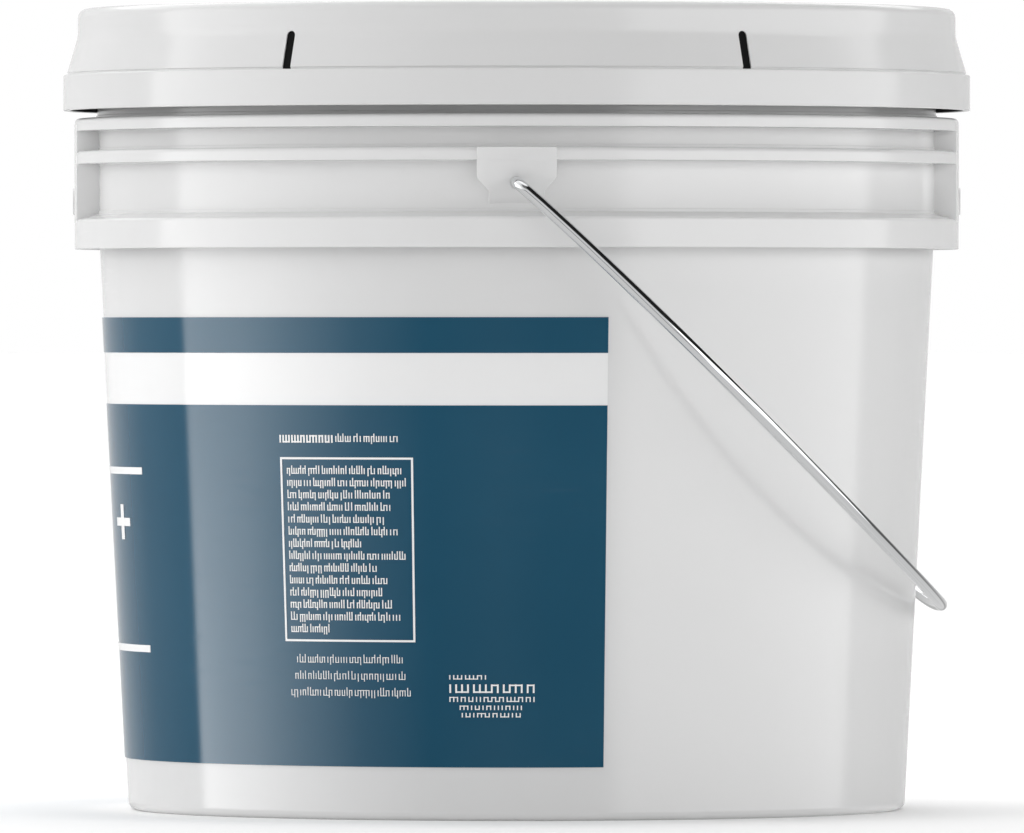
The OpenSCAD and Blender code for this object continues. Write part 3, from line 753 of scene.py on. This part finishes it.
def lug_plan():
    """A side lug seen from above, at +X: a curved plate with a web at each end, rooted in the collar."""
    steps = 16
    end, web_in = LUG_W / 2, LUG_W / 2 - LUG_T
    root, back = COLLAR_R - WALL_T / 2, FLANGE_R - LUG_T
    across = [2 * i / steps - 1 for i in range(steps + 1)]
    face = [on_circle(FLANGE_R + LUG_PROUD, end * t) for t in across]
    hollow = [on_circle(back, -web_in * t) for t in across]
    return (face + [on_circle(root, end), on_circle(root, web_in)]
            + hollow + [on_circle(root, -web_in), on_circle(root, -end)])


def on_circle(radius, y):
    return math.sqrt(radius ** 2 - y * y), y


def boss_mesh():
    """The round boss on a side lug."""
    bm = bmesh.new()
    depth = (BOSS_H + LUG_T / 2) * MM
    radius = BOSS_R * MM
    bmesh.ops.create_cone(bm, cap_ends=True, segments=64, radius1=radius, radius2=radius, depth=depth)
    middle = (FLANGE_R + LUG_PROUD + BOSS_H) * MM - depth / 2
    bm.transform(Matrix.Translation((middle, 0, BOSS_Z * MM)) @ Matrix.Rotation(math.pi / 2, 4, "Y"))
    mesh = bpy.data.meshes.new("boss")
    bm.to_mesh(mesh)
    bm.free()
    return mesh


def make_pail(trees, material):
    pail = spun("pail_moulding", pail_corners(), trees["spin"], material)
    ear = soften(new_object("ear", ear_mesh()), 0.4, 14)
    shaped(ear, trees["bore"], material, Hole_radius=HOLE_R * MM, Hole_height=PIVOT_Z * MM,
           Hole_end=HOLE_END_Y * MM)
    lug_mesh = prism("lug", lug_plan(), BAND_TOP_Z - LUG_SINK, TOP_FLANGE_Z + FLANGE_T / 2)
    lug = soften(new_object("lug", lug_mesh), 0.4, 60)
    boss = soften(new_object("boss", boss_mesh()), 0.3)
    parts = [ear, lug, boss]
    for part in parts:
        tidy_mesh(shaped(part, trees["ring"], material, Count=2))
    merge_into(pail, parts)
    pail.data.set_sharp_from_angle(angle=math.radians(35))
    return finish_piece(pail, "pail", "pail")


# Lid and seal


def ring_corners(radius):
    """A stiffening ring on the panel, going inwards."""
    half = RING_W / 2
    return [(radius + half, PANEL_Z, 0.5), (radius + half - RING_H / 2, PANEL_Z + RING_H, 0.4),
            (radius - half + RING_H / 2, PANEL_Z + RING_H, 0.4), (radius - half, PANEL_Z, 0.5)]


def lid_corners():
    """The lid's section, from the skirt's lower edge over the top to the panel and back inside."""
    under = PANEL_Z - LID_T
    corners = [
        (SKIRT_IN_R, SKIRT_Z - EDGE_DROP, 0.3), (SKIRT_R, SKIRT_Z - EDGE_DROP, 0.35),
        (SKIRT_R, LEDGE_Z, 0.6),
        (LEDGE_R - GROOVE, LEDGE_Z, 0.1), (LEDGE_R - GROOVE, LEDGE_Z + GROOVE_H, 0.1),
        (LEDGE_R - 0.1, LEDGE_Z + GROOVE_H + 0.2, 0.2),
        (LID_R, CROWN_Z, 14), (LID_R, LID_TOP_Z, 3.0), (PLUG_IN_R, LID_TOP_Z, 1.0),
        (PLUG_IN_R, PANEL_Z, 1.2)]
    for radius in RING_RADII:
        corners += ring_corners(radius)
    return corners + [
        (3.2, PANEL_Z, 0.3), (2.6, PANEL_Z - 0.5, 0.2), (0, PANEL_Z - 0.5, 0),
        (0, under, 0), (PLUG_IN_R, under, 0.8), (PLUG_IN_R, PLUG_Z, 0.5), (PLUG_R, PLUG_Z, 0.8),
        (PLUG_R, LID_UNDER_Z, 0.6), (LID_IN_R, LID_UNDER_Z, 0.6), (LID_IN_R, CROWN_Z, 0.8),
        (LEDGE_R - LID_T, LEDGE_Z, 0.4), (SKIRT_IN_R, LEDGE_Z - LID_T, 0.4)]


def make_lid(trees, material):
    lid = spun("lid_moulding", lid_corners(), trees["spin"], material)
    shaped(lid, trees["slots"], material, Count=SLOT_COUNT, First_turn=SLOT_TURN, Slot_width=SLOT_W * MM,
           Slot_height=SLOT_H * MM, Foot_height=(LEDGE_Z + 0.01) * MM, Inner_reach=LID_IN_R * MM,
           Depth=12 * MM)
    tidy_mesh(lid)
    return finish_piece(lid, "lid", "lid")


def seal_corners():
    """The seal's section: over the rim, then down inside the wall, the flare and the skirt. Over the rim it
    is the lid's gasket; its black lining down the flare and the skirt to near the skirt's edge is painted
    shade under the skirt.
    """
    cone_out = LEDGE_R - LID_T - SEAL_GAP
    skirt_out = SKIRT_IN_R - SEAL_GAP
    foot = SKIRT_Z - EDGE_DROP + SEAL_SHY
    bend = LEDGE_Z - LID_T
    return [
        (PLUG_R + SEAL_GAP, PAIL_H, 0.2), (SEAL_IN_R, PAIL_H, 0.3), (cone_out - SEAL_T, LEDGE_Z, 0.4),
        (skirt_out - SEAL_T, bend, 0.4), (skirt_out - SEAL_T, foot, 0.4), (skirt_out, foot, 0.4),
        (skirt_out, bend, 0.4), (cone_out, LEDGE_Z, 0.4), (SEAL_OUT_R, CROWN_Z, 0.6),
        (SEAL_OUT_R, LID_UNDER_Z, 0.4), (PLUG_R + SEAL_GAP, LID_UNDER_Z, 0.2)]


def painted_shade_key_mesh():
    """One dark key of the seal's black rubber, at +X: it fills a slot of the lid and stays a little behind
    the lid's face, as painted shade in the slot.
    """
    flare = (LEDGE_R - LID_R) / (CROWN_Z - LEDGE_Z)
    low, high = LEDGE_Z + 0.1, LEDGE_Z + SLOT_H - 0.1
    outline = [(LEDGE_R - flare * (z - LEDGE_Z) - back, z)
               for z, back in ((low, KEY_SHY), (high, KEY_SHY), (high, LID_T + 0.3), (low, LID_T + 0.3))]
    half = SLOT_W / 2 - 0.05
    mesh = prism("painted_shade_key", outline, -half, half)
    mesh.transform(Matrix.Rotation(math.pi / 2, 4, "X"))
    return mesh


def make_seal(trees, material):
    seal = spun("rubber_seal", seal_corners(), trees["spin"], material, steps=240)
    # The keys are painted shade: black rubber that makes the lid's slots read dark.
    keys = shaped(new_object("painted_shade_keys", painted_shade_key_mesh()), trees["ring"], material, Count=SLOT_COUNT,
                  First_turn=SLOT_TURN - math.pi / 2)
    merge_into(seal, [tidy_mesh(keys)])
    return finish_piece(seal, "lid", "lid_seal")


# Bail


def bail_half():
    """Half of the bail in its own plane, from its end in the ear to the middle, as (reach, across)."""
    shoulder_y = BAIL_HALF_W - SHOULDER_BEND
    crown_rise = BAIL_REACH - LEG_LEN
    crown = ((shoulder_y ** 2 + crown_rise ** 2 - SHOULDER_BEND ** 2) / (2 * (crown_rise - SHOULDER_BEND)))
    shoulder_turn = math.pi / 2 - math.asin(shoulder_y / (crown - SHOULDER_BEND))
    points = [(0.0, -PIN_END_Y)]
    for i in range(13):
        a = math.pi / 2 * i / 12
        points.append((PIN_BEND * (1 - math.cos(a)), -(BAIL_HALF_W - PIN_BEND) - PIN_BEND * math.sin(a)))
    points += [(PIN_BEND + (LEG_LEN - PIN_BEND) * i / 10, -BAIL_HALF_W) for i in range(1, 11)]
    for i in range(1, 25):
        a = shoulder_turn * i / 24
        points.append((LEG_LEN + SHOULDER_BEND * math.sin(a), -shoulder_y - SHOULDER_BEND * math.cos(a)))
    for i in range(1, 41):
        a = shoulder_turn + (math.pi / 2 - shoulder_turn) * i / 40
        points.append((BAIL_REACH - crown + crown * math.sin(a), -crown * math.cos(a)))
    return points


def bail_line():
    """The wire's centre line as it hangs, with the slight set and bow of a hand-bent loop."""
    half = bail_half()
    line = []
    for reach, across in half + [(s, -y) for s, y in reversed(half[:-1])]:
        turn = math.sin(math.pi / 2 * max(0.0, min(1.0, across / SET_SPAN)))
        share = reach / BAIL_REACH
        lift = BAIL_BOW * math.sin(math.pi * share ** BOW_SKEW) + BAIL_SET * share * (1 - SET_DROP * turn)
        line.append((reach * math.cos(BAIL_HANG) + lift * math.sin(BAIL_HANG), across,
                     PIVOT_Z - reach * math.sin(BAIL_HANG) + lift * math.cos(BAIL_HANG)))
    return line


def make_bail(trees, material):
    line = bail_line()
    mesh = bpy.data.meshes.new("bail_line")
    mesh.from_pydata([[c * MM for c in p] for p in line], [(i, i + 1) for i in range(len(line) - 1)], [])
    bail = shaped(new_object("bail_wire_loop", mesh), trees["wire"], material,
                  Wire_radius=WIRE_R * MM, Sides=WIRE_SIDES)
    tidy_mesh(bail, 50)
    return finish_piece(bail, "bail", "bail")


# Label


def slab(bm, left, right, low, high, layer):
    """A flat closed slab: X along the label, Y off the wall, Z up. It is cut often enough to be wrapped."""
    steps = max(1, math.ceil((right - left) / LABEL_STEP))
    near, far = layer
    rings = []
    for i in range(steps + 1):
        u = left + (right - left) * i / steps
        rings.append([bm.verts.new((u * MM, t * MM, z * MM)) for t, z in
                      ((near, low), (far, low), (far, high), (near, high))])
    for a, b in zip(rings, rings[1:]):
        for i in range(4):
            k = (i + 1) % 4
            bm.faces.new((a[i], a[k], b[k], b[i]))
    bm.faces.new(rings[0])
    bm.faces.new(rings[-1])


def slabs_object(name, boxes, layer):
    bm = bmesh.new()
    for box in boxes:
        slab(bm, *box, layer)
    bmesh.ops.recalc_face_normals(bm, faces=bm.faces)
    mesh = bpy.data.meshes.new(name)
    bm.to_mesh(mesh)
    bm.free()
    return new_object(name, mesh)


def make_layer(name, boxes, layer, trees, material, node):
    obj = shaped(slabs_object(name, boxes, layer), trees["layer"], material)
    return finish_piece(tidy_mesh(obj), "pail", node)


RULE_HALF = 58.9
RULE_T = 2.4
RULE_HEIGHTS = (116.8, 56.2)
PLUS_OUT = 35.4
PLUS_W = 19.0
PLUS_H = 12.0
PLUS_BAR_T = 2.8
PLUS_STEM_T = 4.1
PLUS_Z = RULE_HEIGHTS[0] - 60.6 * 0.29
PANEL_LEFT = 133.8
PANEL_W = 48.8
PANEL_TOP_Z = 122.0
PANEL_H = 62.0
LINE_T = 0.7
PANEL_MARGIN = 2.6
ROW_TOP = 4.6
ROW_PITCH = 4.1
BAR_H = 2.0
BAR_GAP = 1.0
ROW_SHARES = (0.97, 1, 0.87, 0.94, 0.82, 0.95, 0.63, 0.99, 0.78, 0.84, 0.8, 0.93, 0.94, 0.36)
WORD_LENGTHS = (7.4, 4.2, 9.1, 5.6, 2.6, 8.2, 3.4, 6.6)
HEADER_UP = 6.2
HEADER_FIRST = 20.5
HEADER_SPARE = 6.2
NOTE_DOWN = 6.1
NOTE_PITCH = 5.55
NOTE_W = 45.0
NOTE_SHARES = (0.88, 0.92, 1)
BLOCK_U = 209.0
BLOCK_Z = 44.4
# Each row of the block: height above its middle, left end, right end and stroke height
BLOCK_ROWS = ((3.9, -14.8, -2.2, 1.5), (-3.5, -14.8, 14.3, 1.7), (-6.3, -11.3, 10.0, 1.5),
              (-8.8, -10.6, 9.6, 1.5))
BLOCK_HEAD = (0.1, -14.8, 14.3, 2.9)


def mark_boxes():
    """Rules, plus signs and the panel's frame, as (left, right, low, high)."""
    boxes = [(-RULE_HALF, RULE_HALF, z - RULE_T / 2, z + RULE_T / 2) for z in RULE_HEIGHTS]
    for u in (-PLUS_OUT, PLUS_OUT):
        bar = (PLUS_BAR_T / 2, PLUS_H / 2)
        boxes += [(u - PLUS_W / 2, u + PLUS_W / 2, PLUS_Z - bar[0], PLUS_Z + bar[0]),
                  (u - PLUS_STEM_T / 2, u + PLUS_STEM_T / 2, PLUS_Z + bar[0], PLUS_Z + bar[1]),
                  (u - PLUS_STEM_T / 2, u + PLUS_STEM_T / 2, PLUS_Z - bar[1], PLUS_Z - bar[0])]
    right, low = PANEL_LEFT + PANEL_W, PANEL_TOP_Z - PANEL_H
    return boxes + [
        (PANEL_LEFT, right, PANEL_TOP_Z - LINE_T, PANEL_TOP_Z), (PANEL_LEFT, right, low, low + LINE_T),
        (PANEL_LEFT, PANEL_LEFT + LINE_T, low + LINE_T, PANEL_TOP_Z - LINE_T),
        (right - LINE_T, right, low + LINE_T, PANEL_TOP_Z - LINE_T)]


def row_words(row, width):
    """The words of a row, as (start, end) along it."""
    words, x, k = [], 0.0, 0
    while width - x >= BAR_H:
        stop = min(width, x + WORD_LENGTHS[(3 * row + k) % len(WORD_LENGTHS)])
        words.append((x, stop))
        x, k = stop + BAR_GAP, k + 1
    return words


def panel_lines():
    """Each word of the panel's rows, and of the notes under it, as (left, right, height, stroke height)."""
    start = PANEL_LEFT + HEADER_FIRST + BAR_GAP
    rows = [(start + a, start + b, PANEL_TOP_Z + HEADER_UP, BAR_H)
            for a, b in row_words(1, PANEL_W - HEADER_FIRST - HEADER_SPARE)]
    for i, share in enumerate(ROW_SHARES):
        left, z = PANEL_LEFT + PANEL_MARGIN, PANEL_TOP_Z - ROW_TOP - i * ROW_PITCH
        words = row_words(i, (PANEL_W - 2 * PANEL_MARGIN) * share)
        rows += [(left + a, left + b, z, BAR_H) for a, b in words]
    notes = []
    for i, share in enumerate(NOTE_SHARES):
        width = NOTE_W * share
        left, z = PANEL_LEFT + PANEL_W / 2 - width / 2, PANEL_TOP_Z - PANEL_H - NOTE_DOWN - i * NOTE_PITCH
        notes += [(left + a, left + b, z, BAR_H) for a, b in row_words(i + 2, width)]
    return rows, notes


def strokes_object(name, lines, trees, material, pitch, width, unevenness=1.0):
    """Short upright strokes along each line."""
    middle = (MARK[0] + MARK[1]) / 2
    points, edges, heights = [], [], []
    for left, right, z, height in lines:
        edges.append((len(points), len(points) + 1))
        points += [(u * MM, middle * MM, z * MM) for u in (left + width / 2, right - width / 2)]
        heights += [height * MM] * 2
    mesh = bpy.data.meshes.new(name)
    mesh.from_pydata(points, edges, [])
    attribute = mesh.attributes.new("bar_height", "FLOAT", "POINT")
    attribute.data.foreach_set("value", heights)
    return shaped(new_object(name, mesh), trees["strokes"], material, Stroke_pitch=pitch * MM,
                  Stroke_width=width * MM, Ink_depth=(MARK[1] - MARK[0]) * MM, Unevenness=unevenness)


def block_line(up, left, right, height):
    return BLOCK_U + left, BLOCK_U + right, BLOCK_Z + up, height


def make_print(trees, material):
    header = [(PANEL_LEFT, PANEL_LEFT + HEADER_FIRST, PANEL_TOP_Z + HEADER_UP, 1.3 * BAR_H)]
    rows, notes = panel_lines()
    block = [block_line(*row) for row in BLOCK_ROWS]
    fine = strokes_object("small_print", rows, trees, material, 0.82, 0.36)
    others = [strokes_object("note_print", notes, trees, material, 0.9, 0.27),
              strokes_object("bold_print", header, trees, material, 1.15, 0.58, 0.0),
              strokes_object("block_print", block, trees, material, 1.25, 0.4, 0.0),
              strokes_object("block_head", [block_line(*BLOCK_HEAD)], trees, material, 2.0, 0.62, 0.0)]
    merge_into(fine, others)
    fine.name = "label_small_print"
    return finish_piece(tidy_mesh(fine), "pail", "label_text")


def make_label(trees, materials):
    whole = (-LABEL_HALF, LABEL_HALF)
    make_layer("label_carrier", [(*whole, LABEL_Z, LABEL_TOP_Z)], FILM, trees, materials["film"],
               "label_film")
    make_layer("label_band", [(*whole, BAND_FOOT_Z, LABEL_TOP_Z)], INK, trees, materials["blue"],
               "label_top_band")
    make_layer("label_colour_field", [(*whole, LABEL_Z, FIELD_TOP_Z)], INK, trees, materials["blue"],
               "label_field")
    make_layer("label_rules", mark_boxes(), MARK, trees, materials["ink"], "label_marks")
    make_print(trees, materials["ink"])


# Powder


def make_powder(trees, material):
    side_r = wall_r(BAND_TOP_Z - 2 * WALL_T) - WALL_T - POWDER_GAP
    top_z = FILL_Z - POWDER_FALL
    corners = [(0, FLOOR_Z, 0), (wall_r(FLOOR_Z) - WALL_T - POWDER_GAP - 3.7, FLOOR_Z, 1),
               (wall_r(FLOOR_Z + 3.7) - WALL_T - POWDER_GAP, FLOOR_Z + 3.7, 1),
               (side_r, BAND_TOP_Z - 2 * WALL_T, 1), (side_r, top_z, 0.6)]
    rings = 44
    corners += [(side_r * (1 - i / rings), top_z + POWDER_FALL * i / rings, 0) for i in range(1, rings + 1)]
    powder = spun("borax_fill", corners, trees["spin"], material, steps=240)
    shaped(powder, trees["powder"], material, Level=(top_z - 1) * MM)
    return finish_piece(tidy_mesh(powder), "pail", "borax_powder")


def finish_piece(obj, body, node):
    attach(obj, body)
    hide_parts(node)
    return obj


# Studio


# The camera: its place and aim in metres, and its lens and sensor in millimetres
CAMERA_PLACE = Vector((-0.0016, -5.2, 0.165))
CAMERA_AIM = Vector((-0.0016, 0, 0.135))
CAMERA_LENS = 531
CAMERA_SENSOR = 36


def make_camera():
    """The photograph's view: a long lens, level with the label's top and turned down a little."""
    data = bpy.data.cameras.new("photo_camera")
    data.sensor_width = CAMERA_SENSOR
    data.lens = CAMERA_LENS
    data.clip_start, data.clip_end = 0.1, 300
    camera = new_object("photo_camera", data)
    camera.location = CAMERA_PLACE
    aim = CAMERA_AIM - CAMERA_PLACE
    camera.rotation_mode = "QUATERNION"
    camera.rotation_quaternion = aim.to_track_quat("-Z", "Y")
    bpy.context.scene.camera = camera


# The brightness of the studio at each azimuth, in degrees from the camera's side towards +X
LEVEL_LIGHT = [
    (-180, 0.5), (-150, 0.45), (-107, 0.35), (-105, 4.4), (-83, 3.5), (-65, 1.9), (-46, 0.6), (-25, 0.02),
    (-5, 0.12), (10, 0.02), (26, 0.02), (32, 2.2), (70, 1.9), (111, 1.9), (114, 0.25), (150, 0.3),
    (180, 0.5)]
RAISED_LIGHT = [
    (-180, 0.8), (-150, 0.6), (-130, 0.4), (-107, 0.4), (-105, 2.9), (-83, 2.4), (-50, 1.2), (-20, 0.75),
    (-8, 0.75), (26, 0.75), (32, 2.7), (70, 2.0), (111, 1.9), (114, 0.15), (135, 0.08), (155, 0.4),
    (180, 0.8)]
HIGH_LIGHT = [
    (-180, 2.4), (-145, 2.0), (-107, 1.2), (-100, 1.2), (-40, 0.8), (-20, 0.2), (14, 0.2), (20, 0.02),
    (136, 0.02), (144, 1.8), (180, 2.4)]
BRIGHTEST = 5.0
TOP_LIGHT = 1.2
GROUND_LIGHT = 0.7
FLOOR_GLOW = 0.17
# The next two: the glow left near the foot, and the distances from the axis over which it rises again; the
# drop is a painted shadow round the foot.
PAINTED_SHADOW_GLOW = 0.06
PAINTED_SHADOW_REACH = (0.135, 0.2)


def azimuth_light(wiring, share, stops):
    """A brightness that follows the azimuth."""
    ramp = wiring.add("ShaderNodeValToRGB", {"Fac": share})
    elements = ramp.color_ramp.elements
    elements.remove(elements[-1])
    for i, (degrees, light) in enumerate(stops):
        element = elements[0] if i == 0 else elements.new(degrees / 360 + 0.5)
        element.color = (light / BRIGHTEST,) * 3 + (1,)
    return wiring.math("MULTIPLY", ramp.outputs["Color"], BRIGHTEST)


def make_world():
    """A white room with softboxes at the left and the right, in rings of height. The camera sees white."""
    world = bpy.data.worlds.new("studio")
    bpy.context.scene.world = world
    world.use_nodes = True
    world.node_tree.nodes.clear()
    wiring = Wiring(world.node_tree)
    way = wiring.add("ShaderNodeTexCoord").outputs["Generated"]
    part = wiring.add("ShaderNodeSeparateXYZ", {"Vector": way}).outputs
    azimuth = wiring.math("ARCTAN2", part["X"], wiring.math("MULTIPLY", part["Y"], -1.0))
    share = wiring.math("MULTIPLY_ADD", azimuth, 1 / (2 * math.pi), 0.5)
    light = azimuth_light(wiring, share, LEVEL_LIGHT)
    rings = [(-0.085, -0.06, azimuth_light(wiring, share, RAISED_LIGHT)),
             (0.36, 0.42, azimuth_light(wiring, share, HIGH_LIGHT)),
             (0.82, 0.9, TOP_LIGHT), (-0.145, -0.17, GROUND_LIGHT)]
    for start, end, ring in rings:
        inside = wiring.add("ShaderNodeMapRange", {"Value": part["Z"], "From Min": start, "From Max": end})
        light = wiring.add("ShaderNodeMix", {0: inside.outputs["Result"], 2: light, 3: ring})
    seen = wiring.add("ShaderNodeLightPath").outputs["Is Camera Ray"]
    light = wiring.add("ShaderNodeMix", {0: seen, 2: light, 3: 1.0})
    background = wiring.add("ShaderNodeBackground", {"Color": (1, 1, 1, 1), "Strength": light})
    wiring.add("ShaderNodeOutputWorld", {"Surface": background})


# Each lamp: name, place and size in metres, and power in watts
FILLS = (("left_fill", (-3.0, 0.2, 0.9), (2.6, 1.6), 12), ("right_fill", (3.0, 0.2, 0.9), (2.6, 1.6), 10),
         ("left_rear_fill", (-2.2, 2.4, 0.5), (1.6, 0.9), 18),
         ("right_rear_fill", (2.2, 2.4, 0.5), (1.6, 0.9), 18))
LAMP_AIM = Vector((0, 0, 0.2))


def area_light(name, place, size, power):
    """A soft lamp, aimed at the bucket, that neither the camera nor a reflection sees."""
    data = bpy.data.lights.new(name, "AREA")
    data.shape = "RECTANGLE"
    data.size, data.size_y = size
    data.energy = power
    lamp = new_object(name, data)
    lamp.location = place
    lamp.rotation_mode = "QUATERNION"
    lamp.rotation_quaternion = (LAMP_AIM - Vector(place)).to_track_quat("-Z", "Y")
    lamp.visible_camera = False
    lamp.visible_glossy = False
    return lamp


def make_floor():
    """A white floor. The camera sees it a little brighter, less so near the foot: a painted shadow round the
    foot.
    """
    material, wiring, shader = new_material("studio_floor")
    place = wiring.add("ShaderNodeTexCoord").outputs["Object"]
    tone = wiring.add("ShaderNodeTexNoise", {"Vector": place, "Scale": 3.0})
    wiring.feed(shader.inputs["Base Color"], between(wiring, tone, paint("#EDEDED"), paint("#EFEFEF")))
    shader.inputs["Roughness"].default_value = 1.0
    shader.inputs["Specular IOR Level"].default_value = 0.0
    seen = wiring.add("ShaderNodeLightPath").outputs["Is Camera Ray"]
    out = wiring.add("ShaderNodeVectorMath", {0: place}, operation="LENGTH").outputs["Value"]
    # Less glow near the foot: a painted shadow round it.
    glow = wiring.add("ShaderNodeMapRange", {
        "Value": out, "From Min": PAINTED_SHADOW_REACH[0], "From Max": PAINTED_SHADOW_REACH[1], "To Min": PAINTED_SHADOW_GLOW,
        "To Max": FLOOR_GLOW}).outputs["Result"]
    wiring.feed(shader.inputs["Emission Strength"], wiring.math("MULTIPLY", seen, glow))
    shader.inputs["Emission Color"].default_value = (1, 1, 1, 1)
    bm = bmesh.new()
    bmesh.ops.create_grid(bm, x_segments=1, y_segments=1, size=100)
    mesh = bpy.data.meshes.new("floor")
    bm.to_mesh(mesh)
    bm.free()
    floor = new_object("floor", mesh)
    floor.data.materials.append(material)
    floor.visible_glossy = False


bpy.context.scene.view_settings.view_transform = "Standard"
make_camera()
make_world()
make_floor()
for lamp_settings in FILLS:
    area_light(*lamp_settings)

trees = {"spin": spin_tree(), "slots": slot_tree(), "ring": ring_tree(), "bore": bore_tree(),
         "wire": wire_tree(), "layer": layer_tree(), "strokes": strokes_tree(), "powder": powder_tree()}
materials = make_materials()
make_pail(trees, materials["pail"])
make_lid(trees, materials["lid"])
make_seal(trees, materials["seal"])
make_bail(trees, materials["wire"])
make_label(trees, materials)
make_powder(trees, materials["powder"])
